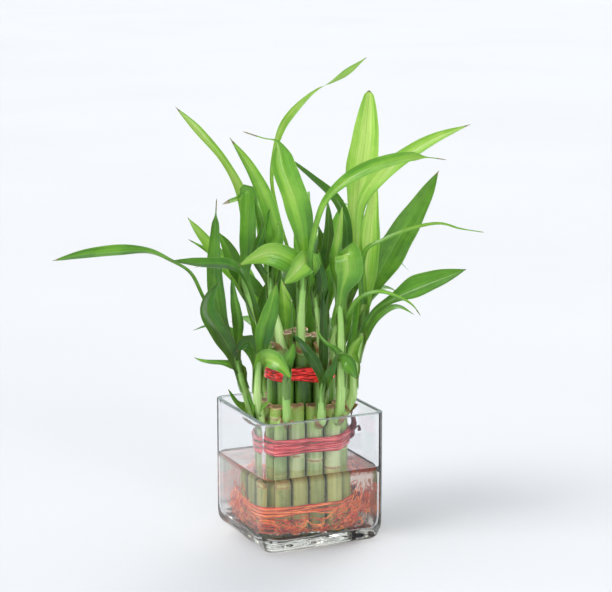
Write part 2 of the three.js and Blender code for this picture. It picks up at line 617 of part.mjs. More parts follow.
// Shoots seen from the front. A leaf has its width, shape, facing, fold, twist and spine.
const SHOOTS = {
  left_front: {
    cane: "left_front",
    stem: [
      [-27, -22, 93], [-31, -26, 112], [-31, -26, 127], [-30, -25, 141], [-27, -24, 154],
      [-27, -22, 168]
    ],
    leaves: [
      // arching
      leaf(13, "blade", "half", 20, 0, [
        [-30, -27, 136], [-27, -31, 149], [-21, -38, 153], [-13, -45, 148], [-5, -50, 135]
      ]),
      // broad
      leaf(16, "blade", "front", 24, 0, [
        [-28, -27, 145], [-26, -31, 163], [-20, -34, 185], [-16, -33, 204]
      ]),
      // folded
      leaf(10, "blade", "half", 20, 0, [
        [-31, -24, 138], [-34, -18, 149], [-38, -16, 155], [-43, -16, 152], [-47, -16, 147]
      ]),
      // shelf
      leaf(11, "neck", "half", 18, 0, [
        [-27, -23, 162], [-32, -27, 183], [-37, -29, 201], [-43, -30, 212], [-52, -30, 217],
        [-72, -30, 218], [-96, -30, 220]
      ]),
      // dark
      leaf(14, "blade", "front", 20, 0, [
        [-27, -22, 161], [-25, -9, 180], [-21, -5, 195], [-13, -4, 211]
      ]),
    ],
  },
  left_back: {
    cane: "left_back",
    stem: [
      [-34, 0, 91], [-40, -4, 110], [-44, -6, 124], [-47, -6, 137], [-49, -5, 150]
    ],
    leaves: [
      // bent
      leaf(16, "blade", "front", 22, 0, [
        [-46, -8, 132], [-54, -12, 151], [-63, -14, 167], [-69, -12, 179], [-67, -9, 189],
        [-60, -6, 199]
      ]),
      // low
      leaf(5, "strap", "half", 10, 0, [
        [-44, -6, 130], [-54, -9, 136], [-66, -8, 137], [-75, -6, 138], [-80, -5, 140]
      ]),
      // tall
      leaf(14, "blade", "front", 25, 0, [
        [-49, -3, 144], [-58, 1, 167], [-63, 1, 192], [-64, 0, 217], [-63, 1, 242], [-62, 2, 262]
      ]),
      // far
      leaf(11, "long_neck", "half", 16, 0, [
        [-48, -5, 140], [-53, 1, 150], [-60, 7, 162], [-72, 8, 182], [-83, 7, 204], [-98, 5, 214],
        [-113, 3, 221], [-136, 0, 222], [-162, -3, 220], [-187, -4, 215]
      ]),
      // scale
      leaf(4, "strap", "half", 10, 0, [
        [-40, -3, 99], [-47, -6, 104], [-54, -9, 116]
      ]),
      // inner
      leaf(9, "blade", "front", 20, 0, [
        [-47, -6, 145], [-46, -5, 165], [-49, -4, 186], [-51, -3, 203]
      ]),
    ],
  },
  front_left: {
    cane: "front_1",
    stem: [
      [-9, -38, 98], [-9, -40, 114], [-9, -40, 128], [-8, -39, 138]
    ],
    leaves: [
      // pale
      leaf(9, "blade", "front", 18, 0, [
        [-8, -40, 135], [-8, -40, 145], [-5, -39, 152], [-3, -38, 160]
      ]),
      // slim
      leaf(5, "strap", "left", 10, 0, [
        [-8, -38, 133], [-5, -33, 152], [-4, -30, 171], [-6, -29, 188], [-13, -29, 199]
      ]),
    ],
  },
  front_right: {
    cane: "front_3",
    stem: [
      [17, -36, 98], [17, -38, 112], [17, -38, 123], [19, -36, 133]
    ],
    leaves: [
      // low
      leaf(9, "blade", "front", 22, 0, [
        [19, -39, 127], [14, -43, 142], [7, -45, 154], [1, -44, 162], [-5, -42, 167]
      ]),
      // black
      leaf(8, "blade", "front", 26, 0, [
        [19, -34, 129], [19, -32, 152], [19, -31, 175], [18, -30, 198]
      ]),
      // side
      leaf(8, "blade", "front", 24, 0, [
        [19, -38, 124], [23, -44, 136], [27, -48, 145], [29, -49, 151]
      ]),
    ],
  },
  front_far_right: {
    cane: "front_4",
    stem: [
      [30, -30, 99], [32, -32, 117], [32, -32, 144], [32, -31, 171], [30, -29, 193], [28, -27, 208]
    ],
    leaves: [
      // blunt
      leaf(19, "blade", "front", 14, 0, [
        [32, -32, 177], [33, -36, 197], [36, -39, 216], [39, -39, 228], [42, -33, 224],
        [42, -29, 214]
      ]),
      // crossing
      leaf(9, "blade", "half", 16, 0, [
        [31, -27, 188], [36, -20, 207], [37, -16, 229], [35, -14, 250], [28, -12, 264],
        [10, -8, 280], [-11, -4, 297]
      ]),
      // pale
      leaf(8, "blade", "front", 18, 0, [
        [29, -27, 201], [27, -27, 218], [30, -27, 239], [33, -25, 261]
      ]),
      // hanging
      leaf(11, "blade", "half", 20, 0, [
        [31, -33, 140], [30, -38, 147], [35, -43, 150], [39, -46, 145], [44, -48, 133]
      ]),
      // thin
      leaf(4, "strap", "half", 10, 0, [
        [33, -34, 143], [28, -39, 154], [21, -40, 159], [16, -40, 165], [14, -39, 172]
      ]),
      // thread
      leaf(4, "strap", "half", 10, 0, [
        [32, -31, 163], [39, -33, 182], [45, -35, 192], [59, -38, 198], [74, -41, 195],
        [85, -43, 189], [91, -44, 181]
      ]),
    ],
  },
  right_front: {
    cane: "right_front",
    stem: [
      [36, -13, 101], [41, -15, 111], [42, -16, 129], [45, -15, 144], [48, -14, 160],
      [50, -13, 175], [51, -12, 188]
    ],
    leaves: [
      // upright
      leaf(17, "blade", "front", 18, 0, [
        [49, -14, 170], [51, -16, 195], [53, -17, 222], [55, -16, 252], [59, -13, 280]
      ]),
      // wide
      leaf(24, "blade", "front", 20, 0, [
        [51, -10, 180], [60, -8, 203], [71, -7, 224], [84, -6, 246], [96, -4, 266], [106, -2, 284]
      ]),
      // lower
      leaf(20, "neck", "half", 20, 0, [
        [48, -16, 155], [52, -22, 169], [59, -25, 181], [73, -27, 191], [95, -28, 201],
        [126, -27, 213]
      ]),
      // bright
      leaf(9, "blade", "front", 20, 0, [
        [43, -18, 135], [41, -25, 147], [44, -27, 156], [50, -27, 163]
      ]),
      // back_stem
      leaf(15, "neck", "half", 18, 0, [
        [50, -13, 173], [48, -21, 211], [45, -24, 238], [48, -25, 263], [60, -26, 281],
        [77, -27, 296], [99, -28, 310], [127, -29, 322]
      ]),
      // ribbon
      leaf(4, "strap", "half", 10, 0, [
        [50, -13, 177], [48, -21, 192], [47, -28, 209], [51, -32, 229], [62, -34, 236],
        [83, -35, 245], [105, -35, 249], [120, -34, 245], [138, -33, 242]
      ]),
    ],
  },
  upper_left: {
    cane: "upper_1",
    stem: [
      [-12, -24, 150], [-15, -20, 165], [-20, -18, 184], [-21, -17, 203], [-21, -16, 216]
    ],
    leaves: [
      // long
      leaf(15, "blade", "half", 22, 0, [
        [-21, -17, 195], [-17, -18, 222], [-21, -20, 253], [-34, -20, 285], [-51, -18, 311]
      ]),
      // narrow
      leaf(7, "blade", "front", 18, 0, [
        [-21, -18, 199], [-32, -22, 221], [-27, -22, 240], [-21, -20, 258]
      ]),
      // short
      leaf(8, "blade", "front", 20, 0, [
        [-21, -15, 206], [-24, -12, 229], [-29, -11, 249], [-33, -10, 264]
      ]),
      // striped
      leaf(9, "blade", "front", 16, 0, [
        [-21, -18, 212], [-17, -24, 229], [-14, -25, 239], [-15, -24, 248]
      ]),
    ],
  },
  upper_centre: {
    cane: "upper_2",
    stem: [
      [2, -24, 152], [2, -27, 173], [3, -28, 191], [4, -28, 208], [5, -27, 218]
    ],
    leaves: [
      // dropped
      leaf(14, "blade", "half", 16, 0, [
        [4, -29, 207], [8, -34, 221], [7, -38, 228], [4, -42, 225], [-2, -45, 217], [-11, -46, 206]
      ]),
      // ribbed
      leaf(17, "blade", "half", 20, 0, [
        [4, -29, 201], [-2, -34, 220], [-10, -38, 231], [-22, -41, 233], [-33, -43, 227],
        [-43, -44, 216]
      ]),
      // big
      leaf(22, "blade", "front", 20, 0, [
        [5, -27, 214], [4, -28, 241], [-2, -29, 267], [-10, -28, 289], [-16, -25, 309],
        [-25, -24, 311], [-41, -23, 316]
      ]),
      // top
      leaf(11, "blade", "left", 18, 170, [
        [4, -27, 197], [-6, -14, 221], [-15, -10, 251], [-20, -8, 279], [-17, -7, 302],
        [-11, -6, 319], [1, -5, 334], [15, -4, 346], [25, -4, 351], [36, -3, 358], [51, -2, 369]
      ]),
    ],
  },
  upper_right: {
    cane: "upper_3",
    stem: [
      [18, -20, 148], [16, -24, 170], [13, -25, 189], [12, -25, 206]
    ],
    leaves: [
      // arch
      leaf(13, "neck", "half", 20, 0, [
        [12, -25, 195], [9, -40, 221], [12, -45, 244], [20, -45, 267], [34, -44, 281],
        [54, -43, 292], [76, -42, 298], [92, -40, 299], [109, -39, 297]
      ]),
      // mid
      leaf(10, "blade", "front", 22, 0, [
        [12, -24, 200], [21, -22, 223], [23, -20, 243], [22, -18, 264]
      ]),
      // back
      leaf(10, "blade", "front", 20, 0, [
        [13, -23, 192], [15, -20, 211], [18, -17, 230], [15, -15, 245]
      ]),
      // wing
      leaf(9, "blade", "front", 20, 0, [
        [14, -25, 183], [18, -30, 202], [16, -32, 215], [15, -32, 229]
      ]),
    ],
  },
  upper_far_left: {
    cane: "upper_4",
    stem: [
      [-22, -10, 145], [-28, -4, 163], [-36, 0, 182], [-41, 2, 198], [-42, 3, 213]
    ],
    leaves: [
      // upright
      leaf(14, "blade", "front", 16, 0, [
        [-42, 1, 195], [-39, -3, 219], [-38, -6, 243], [-37, -6, 261], [-38, -3, 269],
        [-44, 2, 263], [-58, 5, 257]
      ]),
      // outer
      leaf(13, "blade", "half", 20, 0, [
        [-42, 4, 205], [-39, 5, 236], [-43, 4, 264], [-56, 2, 290], [-73, 0, 311], [-92, -2, 332]
      ]),
      // shade
      leaf(14, "blade", "front", 20, 0, [
        [-40, 3, 191], [-48, 8, 209], [-54, 9, 223], [-61, 9, 235]
      ]),
      // fan
      leaf(12, "blade", "front", 14, 0, [
        [-39, 3, 186], [-51, 13, 203], [-66, 16, 221], [-85, 17, 245]
      ]),
      // small
      leaf(5, "blade", "front", 14, 0, [
        [-37, 2, 184], [-51, 18, 199], [-70, 22, 218], [-85, 23, 227]
      ]),
    ],
  },
  upper_far_right: {
    cane: "upper_7",
    stem: [
      [24, -4, 139], [29, -4, 157], [33, -5, 176], [37, -6, 193], [39, -7, 209]
    ],
    leaves: [
      // tallest
      leaf(26, "high_neck", "front", 12, 0, [
        [37, -6, 188], [40, -6, 215], [42, -6, 245], [46, -6, 276], [50, -6, 306], [52, -6, 329],
        [53, -6, 345]
      ]),
      // slip
      leaf(9, "blade", "front", 18, 0, [
        [39, -5, 197], [38, 0, 213], [36, 3, 234], [34, 4, 261]
      ]),
      // rear
      leaf(12, "blade", "front", 18, 0, [
        [36, -4, 181], [44, 4, 199], [49, 8, 221], [50, 10, 248]
      ]),
    ],
  },
};

// Shoots behind the bunch. Each one leans out from its cane, and its leaves fan out from
// the stem and arch over.
const BACK_SHOOTS = {
  back_left: { cane: "back_1", lean: 125, foot: 96 },
  back_low: { cane: "back_2", lean: 101, foot: 92 },
  back_middle: { cane: "back_3", lean: 84, foot: 97 },
  back_right: { cane: "back_4", lean: 60, foot: 93 },
  side_right: { cane: "right_back", lean: 40, foot: 95 },
  high_left: { cane: "upper_8", lean: 118, foot: 143 },
  high_middle: { cane: "upper_9", lean: 90, foot: 147 },
  high_right: { cane: "upper_10", lean: 66, foot: 143 },
};
const BACK_STEM = { reach: 15, rise: 36 };
const BACK_LEAVES = [
  { share: 0.62, turn: 34, reach: 66, rise: 38, width: 13 },
  { share: 0.8, turn: -26, reach: 62, rise: 56, width: 15 },
  { share: 0.98, turn: -4, reach: 52, rise: 68, width: 14 },
];

function backShoot({ cane: caneName, lean, foot }, random) {
  const place = CANES[caneName];
  const from = (origin, degrees, reach, rise) => {
    const angle = THREE.MathUtils.degToRad(degrees);
    return [
      origin[0] + reach * Math.cos(angle),
      origin[1] + reach * Math.sin(angle),
      origin[2] + rise,
    ];
  };
  const base = [place.across, place.deep, foot];
  const { reach, rise } = BACK_STEM;
  const stem = [
    from(base, lean, 6, 0),
    from(base, lean, 0.75 * reach, 0.3 * rise),
    from(base, lean, reach, rise),
  ];
  const curve = curveThrough(stem);
  const leaves = BACK_LEAVES.map((blade) => {
    const start = curve.getPointAt(blade.share).toArray();
    const heading = lean + blade.turn + 8 * (random() - 0.5);
    const size = 0.85 + 0.3 * random();
    const out = blade.reach * size;
    const up = blade.rise * size;
    return leaf(blade.width, "blade", "up", 18, 0, [
      start,
      from(start, heading, 0.16 * out, 0.42 * up),
      from(start, heading, 0.42 * out, 0.83 * up),
      from(start, heading, 0.72 * out, up),
      from(start, heading, out, 0.86 * up),
    ]);
  });
  return shoot(caneName, stem, leaves);
}

function addShoots() {
  for (const [name, { cane: caneName, stem, leaves }] of Object.entries(SHOOTS))
    addPiece(plant, `shoot_${name}`, shoot(caneName, stem, leaves), 0x55912d, 0.45);
  const random = randomSource(11);
  for (const [name, row] of Object.entries(BACK_SHOOTS))
    addPiece(plant, `shoot_${name}`, backShoot(row, random), 0x3f7a24, 0.45);
}

addPiece(root, "vase", vase(), 0xdfe8e6, 0.05);
addPiece(root, "water", water(), 0xcfe0dc, 0.05);
addCanes();
addShoots();
addPiece(plant, "ribbon_lower", ribbon(LOWER_PLACES, LOWER_RIBBON), 0xc81e32, 0.3);
addPiece(plant, "ribbon_upper", ribbon(UPPER_PLACES, UPPER_RIBBON), 0xc81e32, 0.3);
addPiece(plant, "ribbon_under_water", ribbon(LOWER_PLACES, TIE), 0xe8644a, 0.4);
addPiece(plant, "roots", nest(), 0xc85f32, 0.6);
addPiece(plant, "root_tuft", tuft(), 0xcfc8bc, 0.6);

export default root;
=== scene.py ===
"""Lucky bamboo in a square glass vase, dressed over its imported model. Metres, +Z up.

Shapes are worked out in millimetres as arrays on grids of two parameters, in the plant's
own directions (across, deep, up), and turned and scaled into the frame at the end.
"""

import math

import bmesh
import bpy
import numpy as np
from mathutils import Matrix


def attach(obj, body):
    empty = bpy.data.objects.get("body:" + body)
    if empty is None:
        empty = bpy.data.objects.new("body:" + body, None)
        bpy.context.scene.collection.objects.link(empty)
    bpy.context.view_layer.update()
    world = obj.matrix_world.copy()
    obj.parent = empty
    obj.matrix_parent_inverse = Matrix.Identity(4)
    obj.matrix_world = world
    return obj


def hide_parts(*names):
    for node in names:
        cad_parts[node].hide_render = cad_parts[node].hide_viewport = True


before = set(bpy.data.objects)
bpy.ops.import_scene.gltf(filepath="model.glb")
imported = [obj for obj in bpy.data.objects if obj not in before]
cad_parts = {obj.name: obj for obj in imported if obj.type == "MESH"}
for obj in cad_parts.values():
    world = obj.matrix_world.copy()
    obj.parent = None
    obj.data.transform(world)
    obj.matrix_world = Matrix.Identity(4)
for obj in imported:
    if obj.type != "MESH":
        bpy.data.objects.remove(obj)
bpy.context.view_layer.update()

# Sizes in mm, the same as the solids'
MM = 0.001
PLANT_TURN = math.radians(-24.7)
ROW_TURN = math.radians(6)
BUNCH = np.array([2.5, -4.0])
VASE_HALF = 50.0
VASE_HEIGHT = 102.0
VASE_CORNER = 7.0
WALL = 3.3
FLOOR = 10.0
WATER_LEVEL = 58.0
CANE_RADIUS = 6.4
CANE_PITCH = 13.6
CANE_NODE_SPACING = 52
CANE_NODE_RISE = 0.3
LOWER_TOP = 109
UPPER_TOP = 163
STEM_FOOT_RADIUS = 3.9
STEM_TOP_RADIUS = 2.4

INNER_HALF = VASE_HALF - WALL
INNER_CORNER = 6.0
BED = FLOOR + 0.3  # the level on which canes and roots stand
TAU = 2 * math.pi
WELD = 1e-6  # in metres
STRETCH_STEPS = 24  # of a path, between two of its points
GRAINS = 40.0  # seeds for the materials' noise run from 0 to this

# Paths and frames along them

_c, _s = math.cos(PLANT_TURN), math.sin(PLANT_TURN)
TURN = np.array([[_c, _s, 0], [-_s, _c, 0], [0, 0, 1]])


def to_frame(points):
    """Plant points in mm, turned with the bunch about the vertical, in metres."""
    return points @ TURN * MM


def smooth_step(value, low, high):
    """0 below low, 1 above high, and 3 x squared less 2 x cubed between."""
    x = np.clip((value - low) / (high - low), 0, 1)
    return x * x * (3 - 2 * x)


def bell(value, width):
    """1 at zero, and e to the power of minus the square of value over width elsewhere."""
    return np.exp(-((value / width) ** 2))


def smooth_path(points, count):
    """A curve through the points, as count points at even lengths along it.

    Each stretch is a cubic between two points. The slopes at its ends are weighed by the
    square roots of the distances to the neighbouring points, so it doesn't overshoot.
    """
    p = np.asarray(points, float)
    p = np.vstack([2 * p[0] - p[1], p, 2 * p[-1] - p[-2]])
    gap = np.sqrt(np.linalg.norm(np.diff(p, axis=0), axis=1))[:, None]
    before, here, there, after = p[:-3], p[1:-2], p[2:-1], p[3:]
    g0, g1, g2 = gap[:-2], gap[1:-1], gap[2:]
    leave = ((here - before) / g0 - (there - before) / (g0 + g1)) * g1 + (there - here)
    arrive = (there - here) + ((after - there) / g2 - (after - here) / (g1 + g2)) * g1
    t = np.linspace(0, 1, STRETCH_STEPS, endpoint=False)[:, None, None]
    dense = (
        (2 * t**3 - 3 * t**2 + 1) * here
        + (t**3 - 2 * t**2 + t) * leave
        + (3 * t**2 - 2 * t**3) * there
        + (t**3 - t**2) * arrive
    )
    dense = np.vstack([dense.transpose(1, 0, 2).reshape(-1, 3), p[-2]])
    run = np.r_[0, np.cumsum(np.linalg.norm(np.diff(dense, axis=0), axis=1))]
    at = np.linspace(0, run[-1], count)
    return np.stack([np.interp(at, run, dense[:, k]) for k in range(3)], 1)


def path_length(path):
    """The sum of the distances between a path's points."""
    return np.linalg.norm(np.diff(path, axis=0), axis=1).sum()


def unit(vectors):
    """Vectors over their lengths."""
    return vectors / np.linalg.norm(vectors, axis=-1, keepdims=True)


def across_frame(path, hint):
    """Side and normal along paths: side is tangent x hint, and normal is side x tangent."""
    along = unit(np.gradient(path, axis=-2))
    side = unit(np.cross(along, np.broadcast_to(hint, along.shape)))
    return side, np.cross(side, along)


def turned(side, normal, angle):
    """A path's side and normal, both turned about it by the angle at each of its points."""
    c, s = np.cos(angle)[:, None], np.sin(angle)[:, None]
    return side * c - normal * s, normal * c + side * s


def ring_about(side, normal, angle):
    """For each point of a path and each angle a: cos a times normal plus sin a times side."""
    c, s = np.cos(angle)[..., None], np.sin(angle)[..., None]
    return c * normal[..., None, :] + s * side[..., None, :]


def full_turn(count):
    """Angles all the way round, as many as the count."""
    return np.arange(count) * TAU / count


# Meshes from grids


class Piece:
    """Collects grids of points and makes one mesh object of them."""

    def __init__(self, name):
        self.name = name
        self.points, self.faces, self.uvs, self.slots = [], [], [], []
        self.fields = {}
        self.count = 0

    def grid(self, points, wrap=False, flip=False, material=0, v=None, **fields):
        """Adds a grid of rows and columns. wrap joins the last column to the first.

        The UV runs from 0 to 1 across the columns, and down the rows as v says. Each field
        is a number, or a number for each point, that a material reads.
        """
        rows, columns = points.shape[:2]
        spans = columns if wrap else columns - 1
        i, j = np.meshgrid(np.arange(rows - 1), np.arange(spans), indexing="ij")
        right = (j + 1) % columns
        corners = [(i, j, j), (i, right, j + 1), (i + 1, right, j + 1), (i + 1, j, j)]
        if flip:
            corners = corners[::-1]
        faces = np.stack([a * columns + b for a, b, _ in corners], -1).reshape(-1, 4)
        u = np.linspace(0, 1, spans + 1)
        v = np.linspace(0, 1, rows) if v is None else v
        uv = np.stack([np.stack([u[c], v[a]], -1) for a, _, c in corners], -2)
        self.faces.append(faces + self.count)
        self.uvs.append(uv.reshape(-1, 2))
        self.slots.append(np.full(len(faces), material))
        for name, value in fields.items():
            flat = np.broadcast_to(value, (rows, columns)).reshape(-1)
            self.fields.setdefault(name, []).append((self.count, flat))
        self.points.append(points.reshape(-1, 3))
        self.count += rows * columns

    def tube(self, path, radius, sides=12, **options):
        """A round skin: the path plus radius times (cos a normal + sin a side)."""
        side, normal = across_frame(path, LEVEL_HINT)
        radius = np.broadcast_to(radius, len(path))[:, None, None]
        ring = ring_about(side, normal, full_turn(sides))
        self.grid(path[:, None, :] + radius * ring, wrap=True, **options)

    def make(self, materials, stands_for, turn=True):
        """The mesh object, welded and smooth, that stands for one node of the solids."""
        points = np.vstack(self.points)
        points = to_frame(points) if turn else points * MM
        faces = np.vstack(self.faces).astype(np.int32)
        mesh = bpy.data.meshes.new(self.name)
        mesh.vertices.add(len(points))
        mesh.vertices.foreach_set("co", points.ravel())
        mesh.loops.add(faces.size)
        mesh.loops.foreach_set("vertex_index", faces.ravel())
        mesh.polygons.add(len(faces))
        mesh.polygons.foreach_set("loop_start", np.arange(0, faces.size, 4, dtype=np.int32))
        mesh.polygons.foreach_set("material_index", np.concatenate(self.slots).astype(np.int32))
        mesh.update(calc_edges=True)
        layer = mesh.uv_layers.new(name="surface")
        layer.data.foreach_set("uv", np.vstack(self.uvs).ravel())
        for name, parts in self.fields.items():
            values = np.zeros(len(points), np.float32)
            for start, flat in parts:
                values[start : start + len(flat)] = flat
            mesh.attributes.new(name, "FLOAT", "POINT").data.foreach_set("value", values)
        welded = bmesh.new()
        welded.from_mesh(mesh)
        bmesh.ops.remove_doubles(welded, verts=welded.verts, dist=WELD)
        welded.to_mesh(mesh)
        welded.free()
        mesh.shade_smooth()
        for material in materials:
            mesh.materials.append(material)
        piece = bpy.data.objects.new(self.name, mesh)
        bpy.context.collection.objects.link(piece)
        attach(piece, "root")
        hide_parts(stands_for)


LEVEL_HINT = np.array([0.31, 0.17, 0.94])  # no stem or tail runs this way


# Materials. A colour is a triple in sRGB from 0 to 255, unless it has four linear values.


def srgb(red, green, blue):
    """The linear values that shaders use for a colour in sRGB."""
    share = np.array([red, green, blue]) / 255
    linear = np.where(share < 0.04045, share / 12.92, ((share + 0.055) / 1.055) ** 2.4)
    return (*linear.tolist(), 1.0)


class Flow:
    """What comes out of a node, so that maths nodes are written as formulas."""

    def __init__(self, nodes, socket):
        self.nodes, self.socket = nodes, socket

    def __add__(self, other):
        return self.nodes.maths("ADD", self, other)

    def __sub__(self, other):
        return self.nodes.maths("SUBTRACT", self, other)

    def __mul__(self, other):
        return self.nodes.maths("MULTIPLY", self, other)

    def __truediv__(self, other):
        return self.nodes.maths("DIVIDE", self, other)


class Nodes:
    """A node tree with short calls. A flow is linked to an input, and a value is set on it."""

    def __init__(self, tree):
        self.tree = tree

    def feed(self, socket, value):
        if isinstance(value, Flow):
            self.tree.links.new(value.socket, socket)
        elif isinstance(value, tuple) and len(value) == 3:
            socket.default_value = srgb(*value)
        else:
            socket.default_value = value

    def add(self, kind, feeds=None, **settings):
        node = self.tree.nodes.new("ShaderNode" + kind)
        for name, value in settings.items():
            setattr(node, name, value)
        for name, value in (feeds or {}).items():
            self.feed(node.inputs[name], value)
        return node

    def get(self, kind, feeds=None, output=0, **settings):
        return Flow(self, self.add(kind, feeds, **settings).outputs[output])

    def outputs(self, node):
        return {socket.name: Flow(self, socket) for socket in node.outputs}

    def use(self, group, **feeds):
        return self.outputs(self.add("Group", feeds, node_tree=group))

    def maths(self, operation, *values):
        """One operation on one or two values."""
        return self.get("Math", dict(enumerate(values)), operation=operation)

    def step(self, value, low, high, start=0.0, end=1.0):
        """Goes smoothly from start to end as the value goes from low to high."""
        feeds = {"From Min": low, "From Max": high, "To Min": start, "To Max": end, "Value": value}
        return self.get("MapRange", feeds, interpolation_type="SMOOTHSTEP")

    def blend(self, share, first, second, way="MIX"):
        """The first colour, and the second where the share is 1."""
        feeds = {0: share, 6: first, 7: second}
        return self.get("Mix", feeds, 2, data_type="RGBA", blend_type=way)

    def lay(self, colour, *coats):
        """Lays each coat (share, colour) over the colour in turn."""
        for share, other in coats:
            colour = self.blend(share, colour, other)
        return colour

    def shades(self, value, *stops):
        """A colour ramp with the stops (place, colour)."""
        node = self.add("ValToRGB", {"Fac": value})
        elements = node.color_ramp.elements
        for element, (place, colour) in zip(elements, (stops[0], stops[-1])):
            element.position, element.color = place, srgb(*colour)
        for place, colour in stops[1:-1]:
            elements.new(place).color = srgb(*colour)
        return Flow(self, node.outputs[0])

    def field(self, name):
        return self.get("Attribute", output="Fac", attribute_name=name)

    def noise(self, place, scale, detail=2.0, rough=0.5):
        feeds = {"Vector": place, "Scale": scale, "Detail": detail, "Roughness": rough}
        return self.get("TexNoise", feeds)

    def point(self, x, y, z):
        return self.get("CombineXYZ", {"X": x, "Y": y, "Z": z})

    def parts(self, vector):
        return list(self.outputs(self.add("SeparateXYZ", {0: vector})).values())


SOCKET_KINDS = dict(Surface="Vector", Place="Vector", Pale="Color", Brown="Color", Colour="Color")


def new_group(work, inputs, outputs):
    """A node group named for the work, which turns its inputs into its outputs."""
    tree = bpy.data.node_groups.new(work.__name__, "ShaderNodeTree")
    for way, names in (("INPUT", inputs), ("OUTPUT", outputs)):
        for name in names.split():
            kind = "NodeSocket" + SOCKET_KINDS.get(name, "Float")
            tree.interface.new_socket(name=name, in_out=way, socket_type=kind)
    n = Nodes(tree)
    results = tree.nodes.new("NodeGroupOutput").inputs
    for name, value in work(n, n.outputs(tree.nodes.new("NodeGroupInput"))).items():
        n.feed(results[name], value)
    return tree


def blade_fibres(n, given):
    """Streaks along a blade: noise squeezed across it and stretched along it."""
    x, y, _ = n.parts(given["Surface"])
    at = n.point(x * given["Lines"], y * given["Stretch"], given["Seed"])
    return {"Coarse": n.noise(at, 1.0, 1.0), "Fine": n.noise(at, 3.1, 2.0, 0.6)}


def round_fibres(n, given):
    """Streaks along a tube: noise on a circle's points, so that it closes round the tube."""
    x, y, _ = n.parts(given["Surface"])
    turn, size = x * TAU, given["Lines"] / TAU
    along = y * given["Stretch"] + given["Seed"]
    at = n.point(n.maths("COSINE", turn) * size, n.maths("SINE", turn) * size, along)
    return {"Coarse": n.noise(at, 1.0, 1.0), "Fine": n.noise(at, 2.9, 2.0, 0.6)}


def patches(n, given):
    """Cloudy patches, and small specks where a finer noise is highest."""
    scale = n.maths("DIVIDE", 1.0, given["Size"])
    at = n.get("VectorMath", {0: given["Place"], 1: n.point(0.0, 0.0, given["Seed"])})
    clouds = n.step(n.noise(at, scale, 4.0, 0.6), 0.3, 0.7)
    return {"Clouds": clouds, "Specks": n.step(n.noise(at, scale * 9.0), 0.64, 0.74)}


def dry_ends(n, given):
    """Dry tissue: a mask with a frayed edge where the dry amount beats a noise, and its brown."""
    frayed = n.noise(given["Place"], 700.0, 3.0) * 0.8 - 0.4
    amount = given["Amount"] + frayed * given["Amount"]
    colour = n.blend(n.step(amount, 0.45, 0.9), given["Brown"], given["Pale"])
    return {"Mask": n.step(amount, 0.25, 0.55), "Colour": colour}


BLADE_FIBRES = new_group(blade_fibres, "Surface Seed Lines Stretch", "Coarse Fine")
ROUND_FIBRES = new_group(round_fibres, "Surface Seed Lines Stretch", "Coarse Fine")
PATCHES = new_group(patches, "Place Seed Size", "Clouds Specks")
DRY_ENDS = new_group(dry_ends, "Amount Place Pale Brown", "Mask Colour")


class Finish(Nodes):
    """A material's nodes, with its output's inputs, its UV and its place on the object."""

    def __init__(self, name):
        self.material = bpy.data.materials.new(name)
        self.material.use_nodes = True
        super().__init__(self.material.node_tree)
        self.tree.nodes.clear()
        self.end = self.add("OutputMaterial").inputs
        self.surface = self.get("UVMap", uv_map="surface")
        self.place = self.get("TexCoord", output="Object")

    def fibres(self, group, lines, stretch):
        seed = self.field("grain")
        return self.use(group, Surface=self.surface, Seed=seed, Lines=lines, Stretch=stretch)

    def patches(self, size, own_seed=True):
        seed = self.field("grain") if own_seed else 0.0
        return self.use(PATCHES, Place=self.place, Seed=seed, Size=size)

    def dry(self, pale, brown):
        amount = self.field("dry")
        return self.use(DRY_ENDS, Amount=amount, Place=self.place, Pale=pale, Brown=brown)

    def bump(self, height, depth, strength):
        return self.get("Bump", {"Height": height, "Distance": depth, "Strength": strength})

    def skin(self, colour, rough, normal, **plain):
        """The main shader. Its plain values are set on its own sockets."""
        feeds = {name.replace("_", " "): value for name, value in plain.items()}
        feeds.update({"Base Color": colour, "Roughness": rough, "Normal": normal})
        return self.get("BsdfPrincipled", feeds)

    def mix(self, share, first, second):
        return self.get("MixShader", {0: share, 1: first, 2: second})

    def finish(self, shader):
        self.feed(self.end["Surface"], shader)
        return self.material


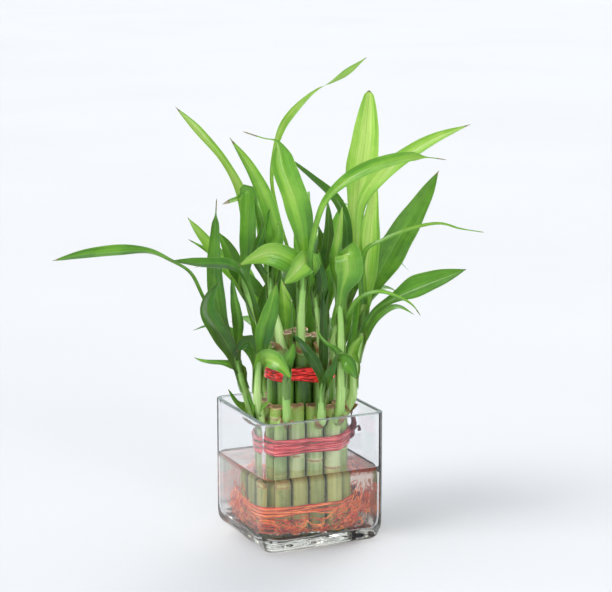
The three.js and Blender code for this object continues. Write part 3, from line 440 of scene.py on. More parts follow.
def make_leaf_green():
    """A blade: streaked green with paler margins, a paler underside and a dry brown tip.

    Its tone is the leaf's own, with bands, patches and veins added, and painted light
    and shade on top: brighter in the middle and toward the tip, darker at the edges and
    the foot, and one half of the blade darker than the other. The pale line at the
    margins is partly the leaf's own and partly a painted edge highlight.
    """
    n = Finish("leaf_green")
    veins = n.fibres(BLADE_FIBRES, 56.0, 1.6)
    bands = n.fibres(BLADE_FIBRES, 5.0, 1.2)
    growth = n.patches(0.03)
    x, y, _ = n.parts(n.surface)
    off_middle = x - 0.5
    across = n.maths("ABSOLUTE", off_middle)
    # Painted shade: the leaf's grain picks which half of the blade is darker.
    lean = n.maths("SINE", n.field("grain") * 5.0)
    own = n.field("tone")
    tone = (
        own + n.step(bands["Coarse"], 0.32, 0.68, -0.045, 0.045)
        + n.step(off_middle, -0.05, 0.05, -0.1, 0.1) * lean
        + n.step(growth["Clouds"], 0.0, 1.0, -0.08, 0.08)
        # Painted light and shade: the middle of the blade is brighter and its edges darker.
        + own * n.step(across, 0.06, 0.44, 0.1, -0.15)
        + n.step(veins["Coarse"], 0.3, 0.7, -0.045, 0.045)
        # Painted shade toward the leaf's foot, deep in the bunch, and painted light toward its
        # tip.
        + n.step(y, 0.15, 0.85, -0.14, 0.08)
    )
    colour = n.shades(
        tone, (0.0, (12, 66, 22)), (0.3, (46, 120, 34)), (0.6, (116, 188, 60)),
        (0.85, (176, 232, 92)), (1.0, (210, 246, 130)),
    )
    streak = n.step(veins["Coarse"], 0.3, 0.7, 0.91, 1.08)
    colour = n.blend(1.0, colour, n.point(streak, streak, streak), "MULTIPLY")
    colour = n.lay(
        colour,
        (growth["Clouds"] * 0.16, (120, 168, 60)),
        (growth["Specks"] * 0.15, (150, 165, 90)),
        # A pale line at the margins: partly the leaf's own edge, partly a painted edge highlight.
        (n.step(across, 0.478, 0.497, 0.0, 0.6), (196, 222, 142)),
        (n.step(across, 0.01, 0.035, 0.3, 0.0), (140, 182, 84)),
        (n.field("pale") * 0.75, (150, 188, 98)),
    )
    behind = n.get("NewGeometry", output="Backfacing")
    dry = n.dry((160, 142, 112), (108, 92, 48))
    underside = n.blend(0.35, colour, (138, 186, 108))
    colour = n.lay(colour, (behind, underside), (dry["Mask"], dry["Colour"]))
    normal = n.bump(veins["Fine"] * 0.4 + veins["Coarse"], 0.0011, 0.8)
    rough = dry["Mask"] * 0.25 + veins["Coarse"] * 0.2 + behind * 0.14 + 0.24
    skin = n.skin(
        colour, rough, normal, Specular_IOR_Level=0.4, Specular_Tint=(220, 242, 206),
        Coat_Weight=0.75, Coat_Roughness=0.2, Sheen_Weight=0.04,
    )
    glow = n.blend(0.35, colour, (186, 228, 72))
    through = n.get("BsdfTranslucent", {"Color": glow, "Normal": normal})
    return n.finish(n.mix(0.28, skin, through))


def make_stem_green():
    """A leaf stem: pale green with fine streaks, lighter sheath edges and a dry brown foot."""
    n = Finish("stem_green")
    fibres = n.fibres(ROUND_FIBRES, 30.0, 2.5)
    coarse, fine = fibres["Coarse"], fibres["Fine"]
    tone = coarse * 0.7 + n.field("tone") * 0.5 - 0.1
    dry = n.dry((196, 156, 114), (136, 88, 56))
    colour = n.lay(
        n.shades(tone, (0.2, (138, 194, 88)), (0.5, (190, 228, 136)), (0.85, (234, 246, 194))),
        (n.patches(0.02)["Clouds"] * 0.3, (132, 184, 78)),
        (n.field("young") * 0.8, (122, 188, 68)),
        (n.field("ring") * 0.2, (206, 218, 156)),
        (dry["Mask"], dry["Colour"]),
    )
    normal = n.bump(coarse + fine, 0.0004, 0.4)
    return n.finish(n.skin(colour, fine * 0.2 + 0.26, normal, Specular_IOR_Level=0.7))


def make_cane_green(name, deep, middle, pale, fresh, scar_colour, peel_colour):
    """A cane: waxy streaked green, a thin brown scar in a pale band at each node, a corky cut."""
    n = Finish(name)
    fibres = n.fibres(ROUND_FIBRES, 26.0, 1.6)
    broad = n.fibres(ROUND_FIBRES, 6.0, 2.2)["Coarse"]
    coarse, fine = fibres["Coarse"], fibres["Fine"]
    growth = n.patches(0.012)
    clouds = growth["Clouds"]
    tone = (n.field("tone") - 0.5) * 0.36 + coarse * 0.45 + broad * 0.55
    scar = n.field("scar")
    ragged = fine * 0.7 + scar * n.step(broad, 0.36, 0.56, 0.45, 1.0) - 0.35
    colour = n.lay(
        n.shades(tone, (0.3, deep), (0.5, middle), (0.7, pale)),
        (n.field("fresh") * 0.75, fresh),
        (clouds * 0.22, pale),
        (growth["Specks"] * 0.3, deep),
        (n.step(scar, 0.02, 0.5, 0.0, 0.55), (204, 208, 158)),
        (n.step(ragged, 0.35, 0.75, 0.0, 0.7), scar_colour),
        (n.step(ragged, 0.85, 1.05, 0.0, 0.8), (112, 82, 52)),
        (n.field("worn") * n.step(fine, 0.4, 0.62) * 0.85, peel_colour),
    )
    height = n.parts(n.place)[2]
    soaked = n.step(height, WATER_LEVEL * MM, (WATER_LEVEL + 1) * MM, 0.75, 0.0)
    colour = n.blend(soaked, colour, (236, 228, 176), "MULTIPLY")
    pores = n.get("TexVoronoi", {"Vector": n.place, "Scale": 1500.0}, "Distance")
    pith = n.blend(n.step(pores, 0.15, 0.45), (88, 62, 40), (152, 122, 86))
    pith = n.blend(clouds * 0.6, pith, (122, 112, 70))
    rim = fine * 0.5 + n.field("cut") - 0.25
    wood = n.shades(
        rim, (0.15, (150, 160, 80)), (0.3, (120, 66, 40)), (0.5, (226, 176, 150)),
        (0.75, (206, 156, 128)),
    )
    cut = n.step(n.field("cut"), 0.86, 0.96)
    colour = n.lay(colour, (n.step(rim, 0.1, 0.3), wood), (cut, pith))
    normal = n.bump(pores * cut * 0.8 + coarse, 0.0005, 0.35)
    rough = clouds * 0.14 + cut * 0.35 + 0.26
    return n.finish(n.skin(colour, rough, normal, Coat_Weight=0.12, Coat_Roughness=0.25))


def make_ribbon_red(name, shadow, deep, middle, light, gloss, painted_glow_strength, lines=22.0, pucker=5.0):
    """Shiny plastic ribbon gathered into a strand: lengthwise pleats, with painted shade in their
    troughs and folds, painted highlights on their crests and a painted glow.
    """
    n = Finish(name)
    pleats = n.fibres(ROUND_FIBRES, lines, pucker)
    coarse, fine = pleats["Coarse"], pleats["Fine"]
    # Painted shade: the fold field darkens the strands' edges and pinches toward the shadow
    # colour.
    painted_fold_shade = n.field("fold") * 0.9
    # The pleat ramp paints shade with the deep colour in the troughs and highlights with the light
    # colour on the crests.
    colour = n.lay(
        n.shades(coarse, (0.36, deep), (0.5, middle), (0.64, light)),
        (n.patches(0.01)["Clouds"] * 0.25, middle),
        (painted_fold_shade, shadow),
    )
    # Painted glow: the ribbon gives off its light colour on the crests and none in the folds.
    painted_glow_colour = n.blend(painted_fold_shade, n.shades(coarse, (0.4, (0, 0, 0)), (0.62, light)), (0, 0, 0))
    return n.finish(n.skin(
        colour, fine * 0.16 + gloss, n.bump(fine * 0.35 + coarse, 0.0018, 1.0),
        Coat_Weight=0.4, Coat_Roughness=0.08, Emission_Color=painted_glow_colour, Emission_Strength=painted_glow_strength,
    ))


def make_root_skin(name, deep, middle, light, painted_glow_strength):
    """Water roots: each strand has its own shade, with darker and paler stretches, and a painted
    glow of its own colour.
    """
    n = Finish(name)
    stretch = n.patches(0.006, own_seed=False)
    clouds = stretch["Clouds"]
    colour = n.shades(
        n.field("tone") * 0.65 + clouds * 0.35, (0.2, deep), (0.5, middle), (0.9, light)
    )
    colour = n.blend(stretch["Specks"] * 0.4, colour, deep)
    normal = n.bump(n.noise(n.place, 1800.0), 0.0002, 0.4)
    # Painted glow: the roots give off their own colour.
    return n.finish(n.skin(
        colour, clouds * 0.2 + 0.22, normal, Coat_Weight=0.5, Coat_Roughness=0.1,
        Emission_Color=colour, Emission_Strength=painted_glow_strength,
    ))


def make_clear(name, bend, clean, tint, density, shade, waviness):
    """Glass or water: it bends light, takes a little colour with depth and casts a pale shadow."""
    n = Finish(name)
    normal = n.bump(n.noise(n.place, 28.0, 1.0), waviness, 1.0)
    lip = n.step(n.field("lip"), 0.85, 1.0)
    rough = lip * 0.22 + n.patches(0.02, own_seed=False)["Specks"] * 0.02
    # Painted reflection: where the edge field marks the water's rim up the walls, it is tinted
    # pinkish brown.
    colour = n.blend(n.field("edge"), clean, (178, 112, 96))
    body = n.skin(colour, rough, normal, IOR=bend, Transmission_Weight=1.0)
    ground = n.get("BsdfDiffuse", {"Color": (172, 190, 186)})
    shadow = n.get("BsdfTransparent", {"Color": shade})
    depth = n.get("VolumeAbsorption", {"Color": tint, "Density": density})
    n.feed(n.end["Volume"], depth)
    in_shadow = n.get("LightPath", output="Is Shadow Ray")
    return n.finish(n.mix(in_shadow, n.mix(lip * 0.4, body, ground), shadow))


LEAF_GREEN = make_leaf_green()
STEM_GREEN = make_stem_green()
CANE_GREEN = make_cane_green(
    "cane_green", (108, 134, 78), (150, 168, 107), (190, 198, 147),
    fresh=(146, 192, 62), scar_colour=(176, 142, 100), peel_colour=(186, 150, 104),
)
UPPER_GREEN = make_cane_green(
    "cane_dark_green", (54, 102, 34), (98, 150, 54), (148, 190, 90),
    fresh=(112, 158, 50), scar_colour=(140, 118, 68), peel_colour=(118, 84, 50),
)
# For each ribbon: the colour of its painted fold shade, then deep, middle and light, the light one
# partly a painted highlight, then its gloss and the strength of its painted glow.
RIBBON_LOWER = make_ribbon_red(
    "ribbon_red_soft", (176, 20, 42), (208, 28, 50), (245, 64, 78), (255, 146, 142), 0.12, 0.16
)
RIBBON_KNOT = make_ribbon_red(
    "ribbon_crimson", (40, 4, 16), (60, 8, 26), (122, 20, 48), (190, 70, 90), 0.22, 0.0
)
RIBBON_UPPER = make_ribbon_red(
    "ribbon_red_bright", (112, 0, 4), (160, 0, 6), (248, 4, 10), (255, 62, 54), 0.1, 0.6,
    lines=12.0, pucker=12.0,
)
RIBBON_WET = make_ribbon_red(
    "ribbon_red_wet", (150, 12, 2), (204, 22, 4), (252, 60, 16), (255, 178, 104), 0.08, 0.42
)
# For each root skin: deep, middle and light, then the strength of its painted glow.
ROOT_ORANGE = make_root_skin("root_orange", (66, 14, 4), (204, 60, 6), (250, 152, 60), 0.12)
ROOT_PALE = make_root_skin("root_pale", (96, 92, 80), (166, 164, 148), (226, 224, 208), 0.0)
CLEAR_GLASS = make_clear(
    "clear_glass", 1.5, clean=(0.972, 0.984, 1.0, 1.0), tint=(0.84, 0.84, 0.8, 1.0),
    density=24.0, shade=(0.92, 0.95, 0.96, 1.0), waviness=0.00012,
)
CLEAR_WATER = make_clear(
    "clear_water", 1.33, clean=(1.0, 1.0, 1.0, 1.0), tint=(1.0, 0.76, 0.6, 1.0),
    density=11.0, shade=(0.98, 0.95, 0.93, 1.0), waviness=0.0,
)


# Canes


def cane_place(step, row):
    """A place in the bunch, from steps along its row and rows back."""
    x, y = step * CANE_PITCH, row * CANE_PITCH * math.sqrt(3) / 2
    c, s = math.cos(ROW_TURN), math.sin(ROW_TURN)
    return BUNCH + [x * c - y * s, x * s + y * c]


# Steps along the row, rows back, the height of one node, and how far the top lies below
# the top of its tier
LOWER_CANES = {
    "front_1": (-1.5, -2, 47, 1),
    "front_2": (-0.5, -2, 70, 0),
    "front_3": (0.5, -2, 66, 0),
    "front_4": (1.5, -2, 60, 2),
    "left_front": (-2, -1, 52, 3),
    "right_front": (2, -1, 73, 1),
    "left_back": (-2, 1, 64, 4),
    "right_back": (2, 1, 45, 0),
    "back_1": (-1.5, 2, 55, 2),
    "back_2": (-0.5, 2, 68, 0),
    "back_3": (0.5, 2, 49, 3),
    "back_4": (1.5, 2, 61, 1),
}
UPPER_CANES = {
    "upper_1": (-1, -1, 42, 0),
    "upper_2": (0, -1, 30, 2),
    "upper_3": (1, -1, 36, 9),
    "upper_4": (-1.5, 0, 39, 12),
    "upper_5": (-0.5, 0, 33, 1),
    "upper_6": (0.5, 0, 44, 5),
    "upper_7": (1.5, 0, 28, 18),
    "upper_8": (-1, 1, 34, 9),
    "upper_9": (0, 1, 40, 3),
    "upper_10": (1, 1, 31, 7),
}
CANES = {
    name: dict(place=cane_place(step, row), node=node, top=tier_top - lower)
    for tier, tier_top in ((LOWER_CANES, LOWER_TOP), (UPPER_CANES, UPPER_TOP))
    for name, (step, row, node, lower) in tier.items()
}
LOWER_PLACES = np.array([CANES[name]["place"] for name in LOWER_CANES])
UPPER_PLACES = np.array([CANES[name]["place"] for name in UPPER_CANES])

CANE_COLUMNS = 28
CANE_ROW = 2.2
WAIST_DEPTH = 0.16
CREASE_DEPTH = 0.14
CREASE_BELOW = 1.6
CUT_DEPTH = 0.9
NODE_ROWS = np.array([-3, -2, -1.3, -0.8, -0.4, 0, 0.4, 0.8, 1.4, 2.2])
# Rows of the worn rim: out from the cane's skin, up from its top, share of the chips, cut
RIM = np.array([
    [0.0, -0.7, 0.2, 0.2], [-0.1, -0.3, 0.8, 0.5], [-0.4, 0.0, 1, 0.75], [-1.1, -0.1, 0.6, 0.85]
])
CUT_SHARES = np.array([[0.84], [0.6], [0.42], [0.24], [0.1], [0.0]])
FOOT_SHARES = np.array([[0.0], [0.85], [0.98]])
FOOT_RISES = np.array([[0.0], [0.0], [0.5]])


def add_cane(name, tilt, random):
    """A cane: a circle of slightly uneven radius carried up, with a ridge at each node.

    The radius is CANE_RADIUS, less a shallow waist between nodes, plus a narrow bump at
    each node and a crease under it. The cut top is a dished, ragged disc with a worn rim.
    """
    upper = name in UPPER_CANES
    place, node, top = CANES[name].values()
    every = node + CANE_NODE_SPACING * np.arange(-2, 4)
    nodes = every[(every > BED + 6) & (every < top - 6)]
    angle = full_turn(CANE_COLUMNS)
    steps = np.arange(BED + 1.2, top - 1.5, CANE_ROW)
    height = np.unique(np.r_[steps, (nodes[:, None] + NODE_ROWS).ravel()])
    height = height[(height > BED + 1) & (height < top - 1.4)]
    wobble = random.uniform(0.3, 1.1) * np.sin(angle + random.uniform(0, TAU))
    off = height[:, None] - nodes
    waist = WAIST_DEPTH * smooth_step(np.abs(off).min(1), 2, 14)
    bumps = CANE_NODE_RISE * bell(off, 0.75).sum(1)
    bumps = bumps - CREASE_DEPTH * bell(off + CREASE_BELOW, 0.5).sum(1)
    oval = 1 + 0.012 * np.cos(2 * angle + random.uniform(0, TAU))
    uneven = 0.07 * wobble * np.sin(height[:, None] / 9 + angle)
    skin = (CANE_RADIUS - waist + bumps)[:, None] * oval + uneven

    bites = np.sin(3 * angle + random.uniform(0, TAU)) * np.sin(angle + random.uniform(0, TAU))
    chipped = (0.7 * bites - random.uniform(0.3, 0.9, CANE_COLUMNS)) * RIM[:, 2:3]
    ragged = random.normal(0, 0.2, (len(CUT_SHARES), CANE_COLUMNS)) * (CUT_SHARES > 0)
    parts = [
        (CANE_RADIUS * FOOT_SHARES, BED + FOOT_RISES),
        (skin, height[:, None]),
        (CANE_RADIUS - waist[-1] + RIM[:, :1], top + RIM[:, 1:2] + chipped),
        ((CANE_RADIUS - 1) * CUT_SHARES, top - CUT_DEPTH - 0.5 * (1 - CUT_SHARES**2) + ragged),
    ]
    radius, high = [
        np.vstack([np.broadcast_to(rows, (len(rows), CANE_COLUMNS)) for rows in column])
        for column in zip(*parts)
    ]
    cut = np.r_[np.zeros(len(FOOT_SHARES) + len(height)), RIM[:, 3], np.ones(len(CUT_SHARES))]
    above = np.zeros(len(RIM) + len(CUT_SHARES))
    scar = np.r_[np.zeros(len(FOOT_SHARES)), bell(off, 1.5).sum(1), above]
    x, y = radius * np.cos(angle), radius * np.sin(angle)
    high = high + np.where(cut[:, None] > 0, tilt * x, 0)
    piece = Piece(f"stalk_{name}")
    piece.grid(
        np.stack([place[0] + x, place[1] + y, high], -1), wrap=True, v=high.mean(1) / 100,
        cut=cut[:, None], scar=scar[:, None],
        tone=random.uniform(0, 1), grain=random.uniform(0, GRAINS),
        worn=bell(top - high, 16.0 if upper else 4.0),
        fresh=smooth_step(high, top - 24, top - 7),
    )
    green, slot = (UPPER_GREEN, "cane_dark") if upper else (CANE_GREEN, "cane")
    piece.make([green], f"cane_{name}")


# Ribbons


def round_bunch(places, offset, angle, height):
    """Points round a tier, at angles about the bunch's middle and at heights.

    Their distance is the offset beyond a cord pulled tight round the canes. That is the
    nearest of 72 straight lines that touch the tier from outside, each at the greatest
    reach of any cane in that line's direction.
    """
    shape = np.shape(angle)
    facing = full_turn(72)
    directions = np.stack([np.cos(facing), np.sin(facing)])
    reach = ((places - BUNCH) @ directions).max(0) + CANE_RADIUS + CANE_NODE_RISE
    share = np.cos(facing[:, None] - np.ravel(angle))
    line = reach[:, None] + np.broadcast_to(offset, shape).ravel()
    line = np.where(share < 0.2, np.inf, line / np.maximum(share, 0.2))
    radius = line.min(0).reshape(shape)
    x, y = BUNCH[0] + radius * np.cos(angle), BUNCH[1] + radius * np.sin(angle)
    return np.stack([x, y, np.broadcast_to(height, shape)], -1)


def add_windings(piece, places, z, lift, strands, spread, random):
    """Strands wound round a tier: ovals carried round the tight path.

    Their height and their distance from the canes wander by slow sines, so that strands
    cross and bunch. The folds are dark at each strand's edges and where it is pinched.
    """
    angle = full_turn(180)[:, None]
    section = full_turn(12)
    for k in range(strands):
        a, b, c = random.uniform(0, TAU, 3)
        share = (k + 0.5) / strands - 0.5
        wander = 0.8 * np.sin(angle + a) + 0.45 * np.sin(3 * angle + b)
        wander = wander + 0.15 * np.sin(11 * angle + c)
        middle = z + lift * np.cos(angle) + share * spread + wander
        out = 1.0 + 0.35 * np.sin(2 * angle + c) + 0.3 * (k % 2)
        tall = (0.74 + 0.16 * np.sin(5 * angle + b)) * spread / strands
        thick = 0.6 + 0.18 * np.cos(4 * section + 5 * angle + a)
        offset = np.maximum(out + thick * np.cos(section), 0.32)
        around = np.broadcast_to(angle, offset.shape)
        points = round_bunch(places, offset, around, middle + tall * np.sin(section))
        hidden = smooth_step(np.abs(np.sin(section)), 0.5, 1.0)
        pinch = np.clip(np.sin(5 * angle + c) * np.sin(13 * angle + a), 0, 1)
        fold = np.clip(hidden + 0.5 * pinch, 0, 1)
        piece.grid(
            np.concatenate([points, points[:1]]), wrap=True, flip=True, v=np.linspace(0, 2, 181),
            fold=np.concatenate([fold, fold[:1]]), grain=random.uniform(0, GRAINS),
        )


# The loose ends of a knot: turn about the bunch, distance out and rise of their points
TAILS = [
    [(0, 1, 1), (-0.06, 3, 7), (-0.1, 2.5, 13), (-0.08, 3, 18)],
    [(0, 1, 1), (0.03, 5, 3), (0, 8, 5), (-0.06, 8.5, 2)],
    [(0, 1, 0), (-0.09, 4, 4), (-0.15, 4.5, 9), (-0.16, 3.5, 13)],
]


def add_knot(piece, places, height, facing, knot, tail, random):
    """Three thick loops over each other, and three loose ends that curl.

    A loop is a tube that swells to its middle. A loose end is an oval, three times as wide
    as it is thick, which turns about its path while it is carried along.
    """

    def at(turn, out, rise):
        return round_bunch(places, 0.6 + out * tail, facing + turn, height + rise * tail)

    for k in range(3):
        lean = 0.06 * (k - 1)
        loop = [
            at(lean, 0.2, k - 4.5), at(0.5 * lean, 1.8 + 0.4 * k, -2), at(0, 2.4, 0.5 * k),
            at(-lean, 1.8, 2.5), at(-1.5 * lean, 0.3, 4.5 - k),
        ]
        swell = knot * (0.35 + 0.5 * np.sin(np.linspace(0, math.pi, 30)))
        swell[[0, -1]] = 0
        piece.tube(
            smooth_path(loop, 30), swell, v=np.linspace(0, 0.2, 30), material=1,
            grain=random.uniform(0, GRAINS),
        )
    t = np.linspace(0, 1, 34)
    for end in TAILS:
        path = smooth_path([at(*point) for point in end], 34)
        wide = 1.9 + 0.6 * np.sin(5 * t + random.uniform(0, 3))
        wide = wide * np.minimum(1, 40 * t * (1 - t) + 0.02)
        curl = 2.2 * t + random.uniform(0, 3)
        flat, thin = turned(*across_frame(path, np.array([0.3, -0.8, 0.2])), -curl)
        oval = wide[:, None, None] * ring_about(-0.3 * thin, flat, full_turn(12))
        piece.grid(
            path[:, None, :] + oval, wrap=True, v=0.4 * t, material=1,
            grain=random.uniform(0, GRAINS),
        )


def add_ribbon(
    name, places, z, lift, strands, spread, facing, knot, tail, materials, random
):
    """A shiny ribbon wound round a tier at height z, higher at the right by the lift."""
    piece = Piece(f"{name}_windings")
    add_windings(piece, places, z, lift, strands, spread, random)
    add_knot(piece, places, z + lift * math.cos(facing), facing, knot, tail, random)
    piece.make(materials, name)


# Roots

NEST_RADIUS = 30  # of the strands about the bunch's middle, on the whole
HEEL_ROOM = 6  # that the round heel takes from the walls at the floor


def inside_glass(points, room):
    """Pulls points in so that they keep the room from the walls and the round heel."""
    p = points @ TURN
    heel = HEEL_ROOM * (1 - smooth_step(p[..., 2] - FLOOR, -1, 8))
    limit = (INNER_HALF - room - heel)[..., None]
    p[..., :2] = np.clip(p[..., :2], -limit, limit)
    p[..., 2] = np.maximum(p[..., 2], BED + 0.4)
    return p @ TURN.T


def add_strands(piece, paths, radius, sides, tones, random):
    """Thin tubes: a circle about each path, which narrows to nothing at both ends."""
    hint = unit(random.normal(0, 1, (len(paths), 1, 3)))
    t = np.linspace(0, 1, paths.shape[1])
    size = (radius[:, None] * np.sqrt(np.clip(6 * t * (1 - t), 0, 1)))[..., None, None]
    rings = paths[:, :, None, :] + size * ring_about(*across_frame(paths, hint), full_turn(sides))
    for ring, tone in zip(rings, tones):
        piece.grid(ring, wrap=True, tone=tone)


def slow_noise(random, count, steps, waves, size):
    """For each strand, a sum of a few sines of random phase and height along it."""
    t = np.linspace(0, 1, steps)
    order = np.arange(1, waves + 1)[:, None]
    phase = random.uniform(0, TAU, (count, waves, 1))
    pace = random.uniform(0.5, 1.5, (count, waves, 1)) * order
    height = random.uniform(0.3, 1, (count, waves, 1)) / order**0.8
    return size * (height * np.sin(TAU * pace * t + phase)).sum(1)


def root_bundle(
    piece, random, count, span, depth, height, curl, radius, sides, climb=0.0, shades=(0.2, 1)
):
    """Curly strands round the canes' feet, as angle, distance outside them and height.

    Each goes steadily through its span of angle, while it circles like a point on a
    rolling wheel of the curl's size, and sums of sines of random phase shift it in all
    three. climb raises the middle of those at the sides, like loops.
    """
    steps = 56
    each = (count, 1)
    t = np.linspace(0, 1, steps)
    start = random.uniform(0, TAU, each)
    sweep = random.uniform(*span, each) * random.choice([-1, 1], each)
    wheel = TAU * random.uniform(1.2, 4.5, each) * t + random.uniform(0, TAU, each)
    size = curl * random.uniform(0.4, 1.3, each)
    size = size * (0.6 + slow_noise(random, count, steps, 3, 0.4))
    angle = start + sweep * (t - 0.5) + size * np.cos(wheel) / NEST_RADIUS
    angle = angle + slow_noise(random, count, steps, 4, 0.012 * curl)
    side = np.cos(angle) ** 2
    far = random.uniform(*depth, each) * (1 + 0.6 * side)
    near = slow_noise(random, count, steps, 4, 0.6 * curl) + 0.6 * size * np.sin(0.7 * wheel)
    low = random.uniform(*height, each)
    lifted = climb * np.sin(math.pi * t) * (0.2 + 0.8 * side) * random.uniform(0.3, 1, each)
    bob = size * np.sin(wheel) + slow_noise(random, count, steps, 4, 0.6 * curl)
    level = BED + low + 3 * side + lifted + bob
    paths = round_bunch(LOWER_PLACES, np.maximum(far + near, 0.5), angle, level)
    thick = random.uniform(*radius, count)
    tones = random.uniform(*shades, count)
    add_strands(piece, inside_glass(paths, 1.2), thick, sides, tones, random)


def add_nest(random):
    """The tangle of roots: dark strands behind as painted shade, windings, curls, loops that
    climb, fine ends.
    """
    piece = Piece("root_nest")
    for bundle in (
        # Dark strands low behind the rest: painted shade deep in the tangle.
        dict(count=60, span=(0.1, 0.5), depth=(0.8, 2.5), height=(0.5, 6), curl=1.6,
             radius=(0.35, 0.55), sides=4, shades=(0, 0.3)),
        dict(count=16, span=(0.8, 2.2), depth=(1.6, 4), height=(9, 19), curl=1.4,
             radius=(0.34, 0.5), sides=5),
        dict(count=104, span=(0.15, 0.7), depth=(1.5, 8), height=(1, 9), curl=2.4,
             radius=(0.28, 0.44), sides=5),
        dict(count=60, span=(0.1, 0.6), depth=(3, 10), height=(2, 10), curl=2.4,
             radius=(0.26, 0.4), sides=5, climb=24),
        dict(count=60, span=(0.05, 0.3), depth=(2, 11), height=(0.5, 14), curl=3.0,
             radius=(0.18, 0.3), sides=4),
    ):
        root_bundle(piece, random, **bundle)
    piece.make([ROOT_ORANGE], "roots")


TUFT = dict(x=35.0, y=-36.0, radius=5.5, height=12.0, count=90)


def add_tuft(random):
    """Pale young roots that spring from one spot on the floor, rise by a sine and curl over."""
    piece = Piece("root_tuft_strands")
    steps, each = 24, (TUFT["count"], 1)
    noise = lambda waves, size: slow_noise(random, TUFT["count"], steps, waves, size)
    t = np.linspace(0, 1, steps)
    angle = random.uniform(0, TAU, each) + noise(2, 0.5) * t
    reach = TUFT["radius"] * random.uniform(0.4, 1, each) * t
    rise = 1 + TUFT["height"] * random.uniform(0.25, 0.9, each) * np.sin(2.2 * t)
    x, y = TUFT["x"] + reach * np.cos(angle), TUFT["y"] + reach * np.sin(angle)
    paths = np.stack([x, y, BED + rise], -1)
    paths[..., :2] += noise(3, 0.25)[..., None] * t[:, None]
    thick = random.uniform(0.13, 0.26, TUFT["count"])
    tones = random.uniform(0, 1, TUFT["count"])
    add_strands(piece, paths @ TURN.T, thick, 4, tones, random)
    piece.make([ROOT_PALE], "root_tuft")


# Vase and water


def square_rings(halves, corners, heights, per_corner=9, per_side=10):
    """Rows of a square with round corners: half width, corner radius and height for each row.

    A corner is its middle plus the radius times (cos a, sin a) through a quarter turn, and
    a side is a straight line from one corner's end to the next one's start.
    """
    arc = np.linspace(-0.25, 0.25, per_corner) * math.pi
    middle = math.pi / 4 + np.arange(4)[:, None] * math.pi / 2
    sign = np.sign(np.stack([np.cos(middle), np.sin(middle)], -1))
    bend = np.stack([np.cos(middle + arc), np.sin(middle + arc)], -1)
    half = halves[:, None, None, None]
    corner = np.minimum(corners, halves)[:, None, None, None]
    curve = (half - corner) * sign + corner * bend
    start, end = curve[:, :, -1:], np.roll(curve, -1, 1)[:, :, :1]
    share = np.linspace(0, 1, per_side + 2)[1:-1, None]
    flat = np.concatenate([curve, start + (end - start) * share], 2)
    flat = flat.reshape(len(halves), -1, 2)
    level = np.broadcast_to(heights[:, None, None], (*flat.shape[:2], 1))
    return np.concatenate([flat, level], -1)


RIM_EDGE = 0.8
UNDERSIDE_REACH = 41
UNDERSIDE_RISE = 2.4
INNER_REACH = 38.5  # of the vase's floor, to the inner heel
NO_WIDTH = 0.02
HEEL_TOP = 10
HEEL_ROWS = [(10, 16), (26, 29)]  # the rows in which the outer heel's waves set in and fade
HEEL_WAVES = 0.016  # as a share of the distance from the middle
BITE = 0.2  # by which the water is laid into the glass
CREEP = 0.8  # by which its rim is drawn up the walls
# The round heel outside and inside: half widths and rises
OUTER_HEEL = [(42, 0), (46, 1), (48.4, 3.2), (49.6, 6.4), (50, 10)]
INNER_HEEL = [(40.7, 0), (44.1, 1.2), (46, 3.6), (46.7, 7)]


def heel_curve(heel, count):
    """Half widths and rises along a smooth curve through the heel's points."""
    path = smooth_path([(half, 0, rise) for half, rise in heel], count)
    return path[:, 0], path[:, 2]


# The waves of a hand-made base: height, pace across, pace deep and phase
WAVES = [
    (0.45, 0.17, 0.1, 0.6), (0.35, 0.09, -0.26, 2.1), (0.3, 0.33, 0.19, 4), (0.2, -0.24, 0.42, 1)
]


def glass_waves(x, y):
    """A few crossed sines, about 1 high."""
    return sum(high * np.sin(across * x + deep * y + phase) for high, across, deep, phase in WAVES)


def floor_waves(rows):
    """The waves of the vase's inner floor, which fade out up the round heel."""
    fade = 1 - smooth_step(rows[..., 2], FLOOR + 1, FLOOR + 7)
    return (0.75 * glass_waves(rows[..., 0], rows[..., 1]) - 0.7) * fade


def joined(*sections):
    """The columns of all sections one after another, and each row's section number."""
    sections = [np.broadcast_arrays(*section) for section in sections]
    numbers = np.repeat(np.arange(len(sections)), [len(section[0]) for section in sections])
    return *[np.concatenate(column) for column in zip(*sections)], numbers[:, None]


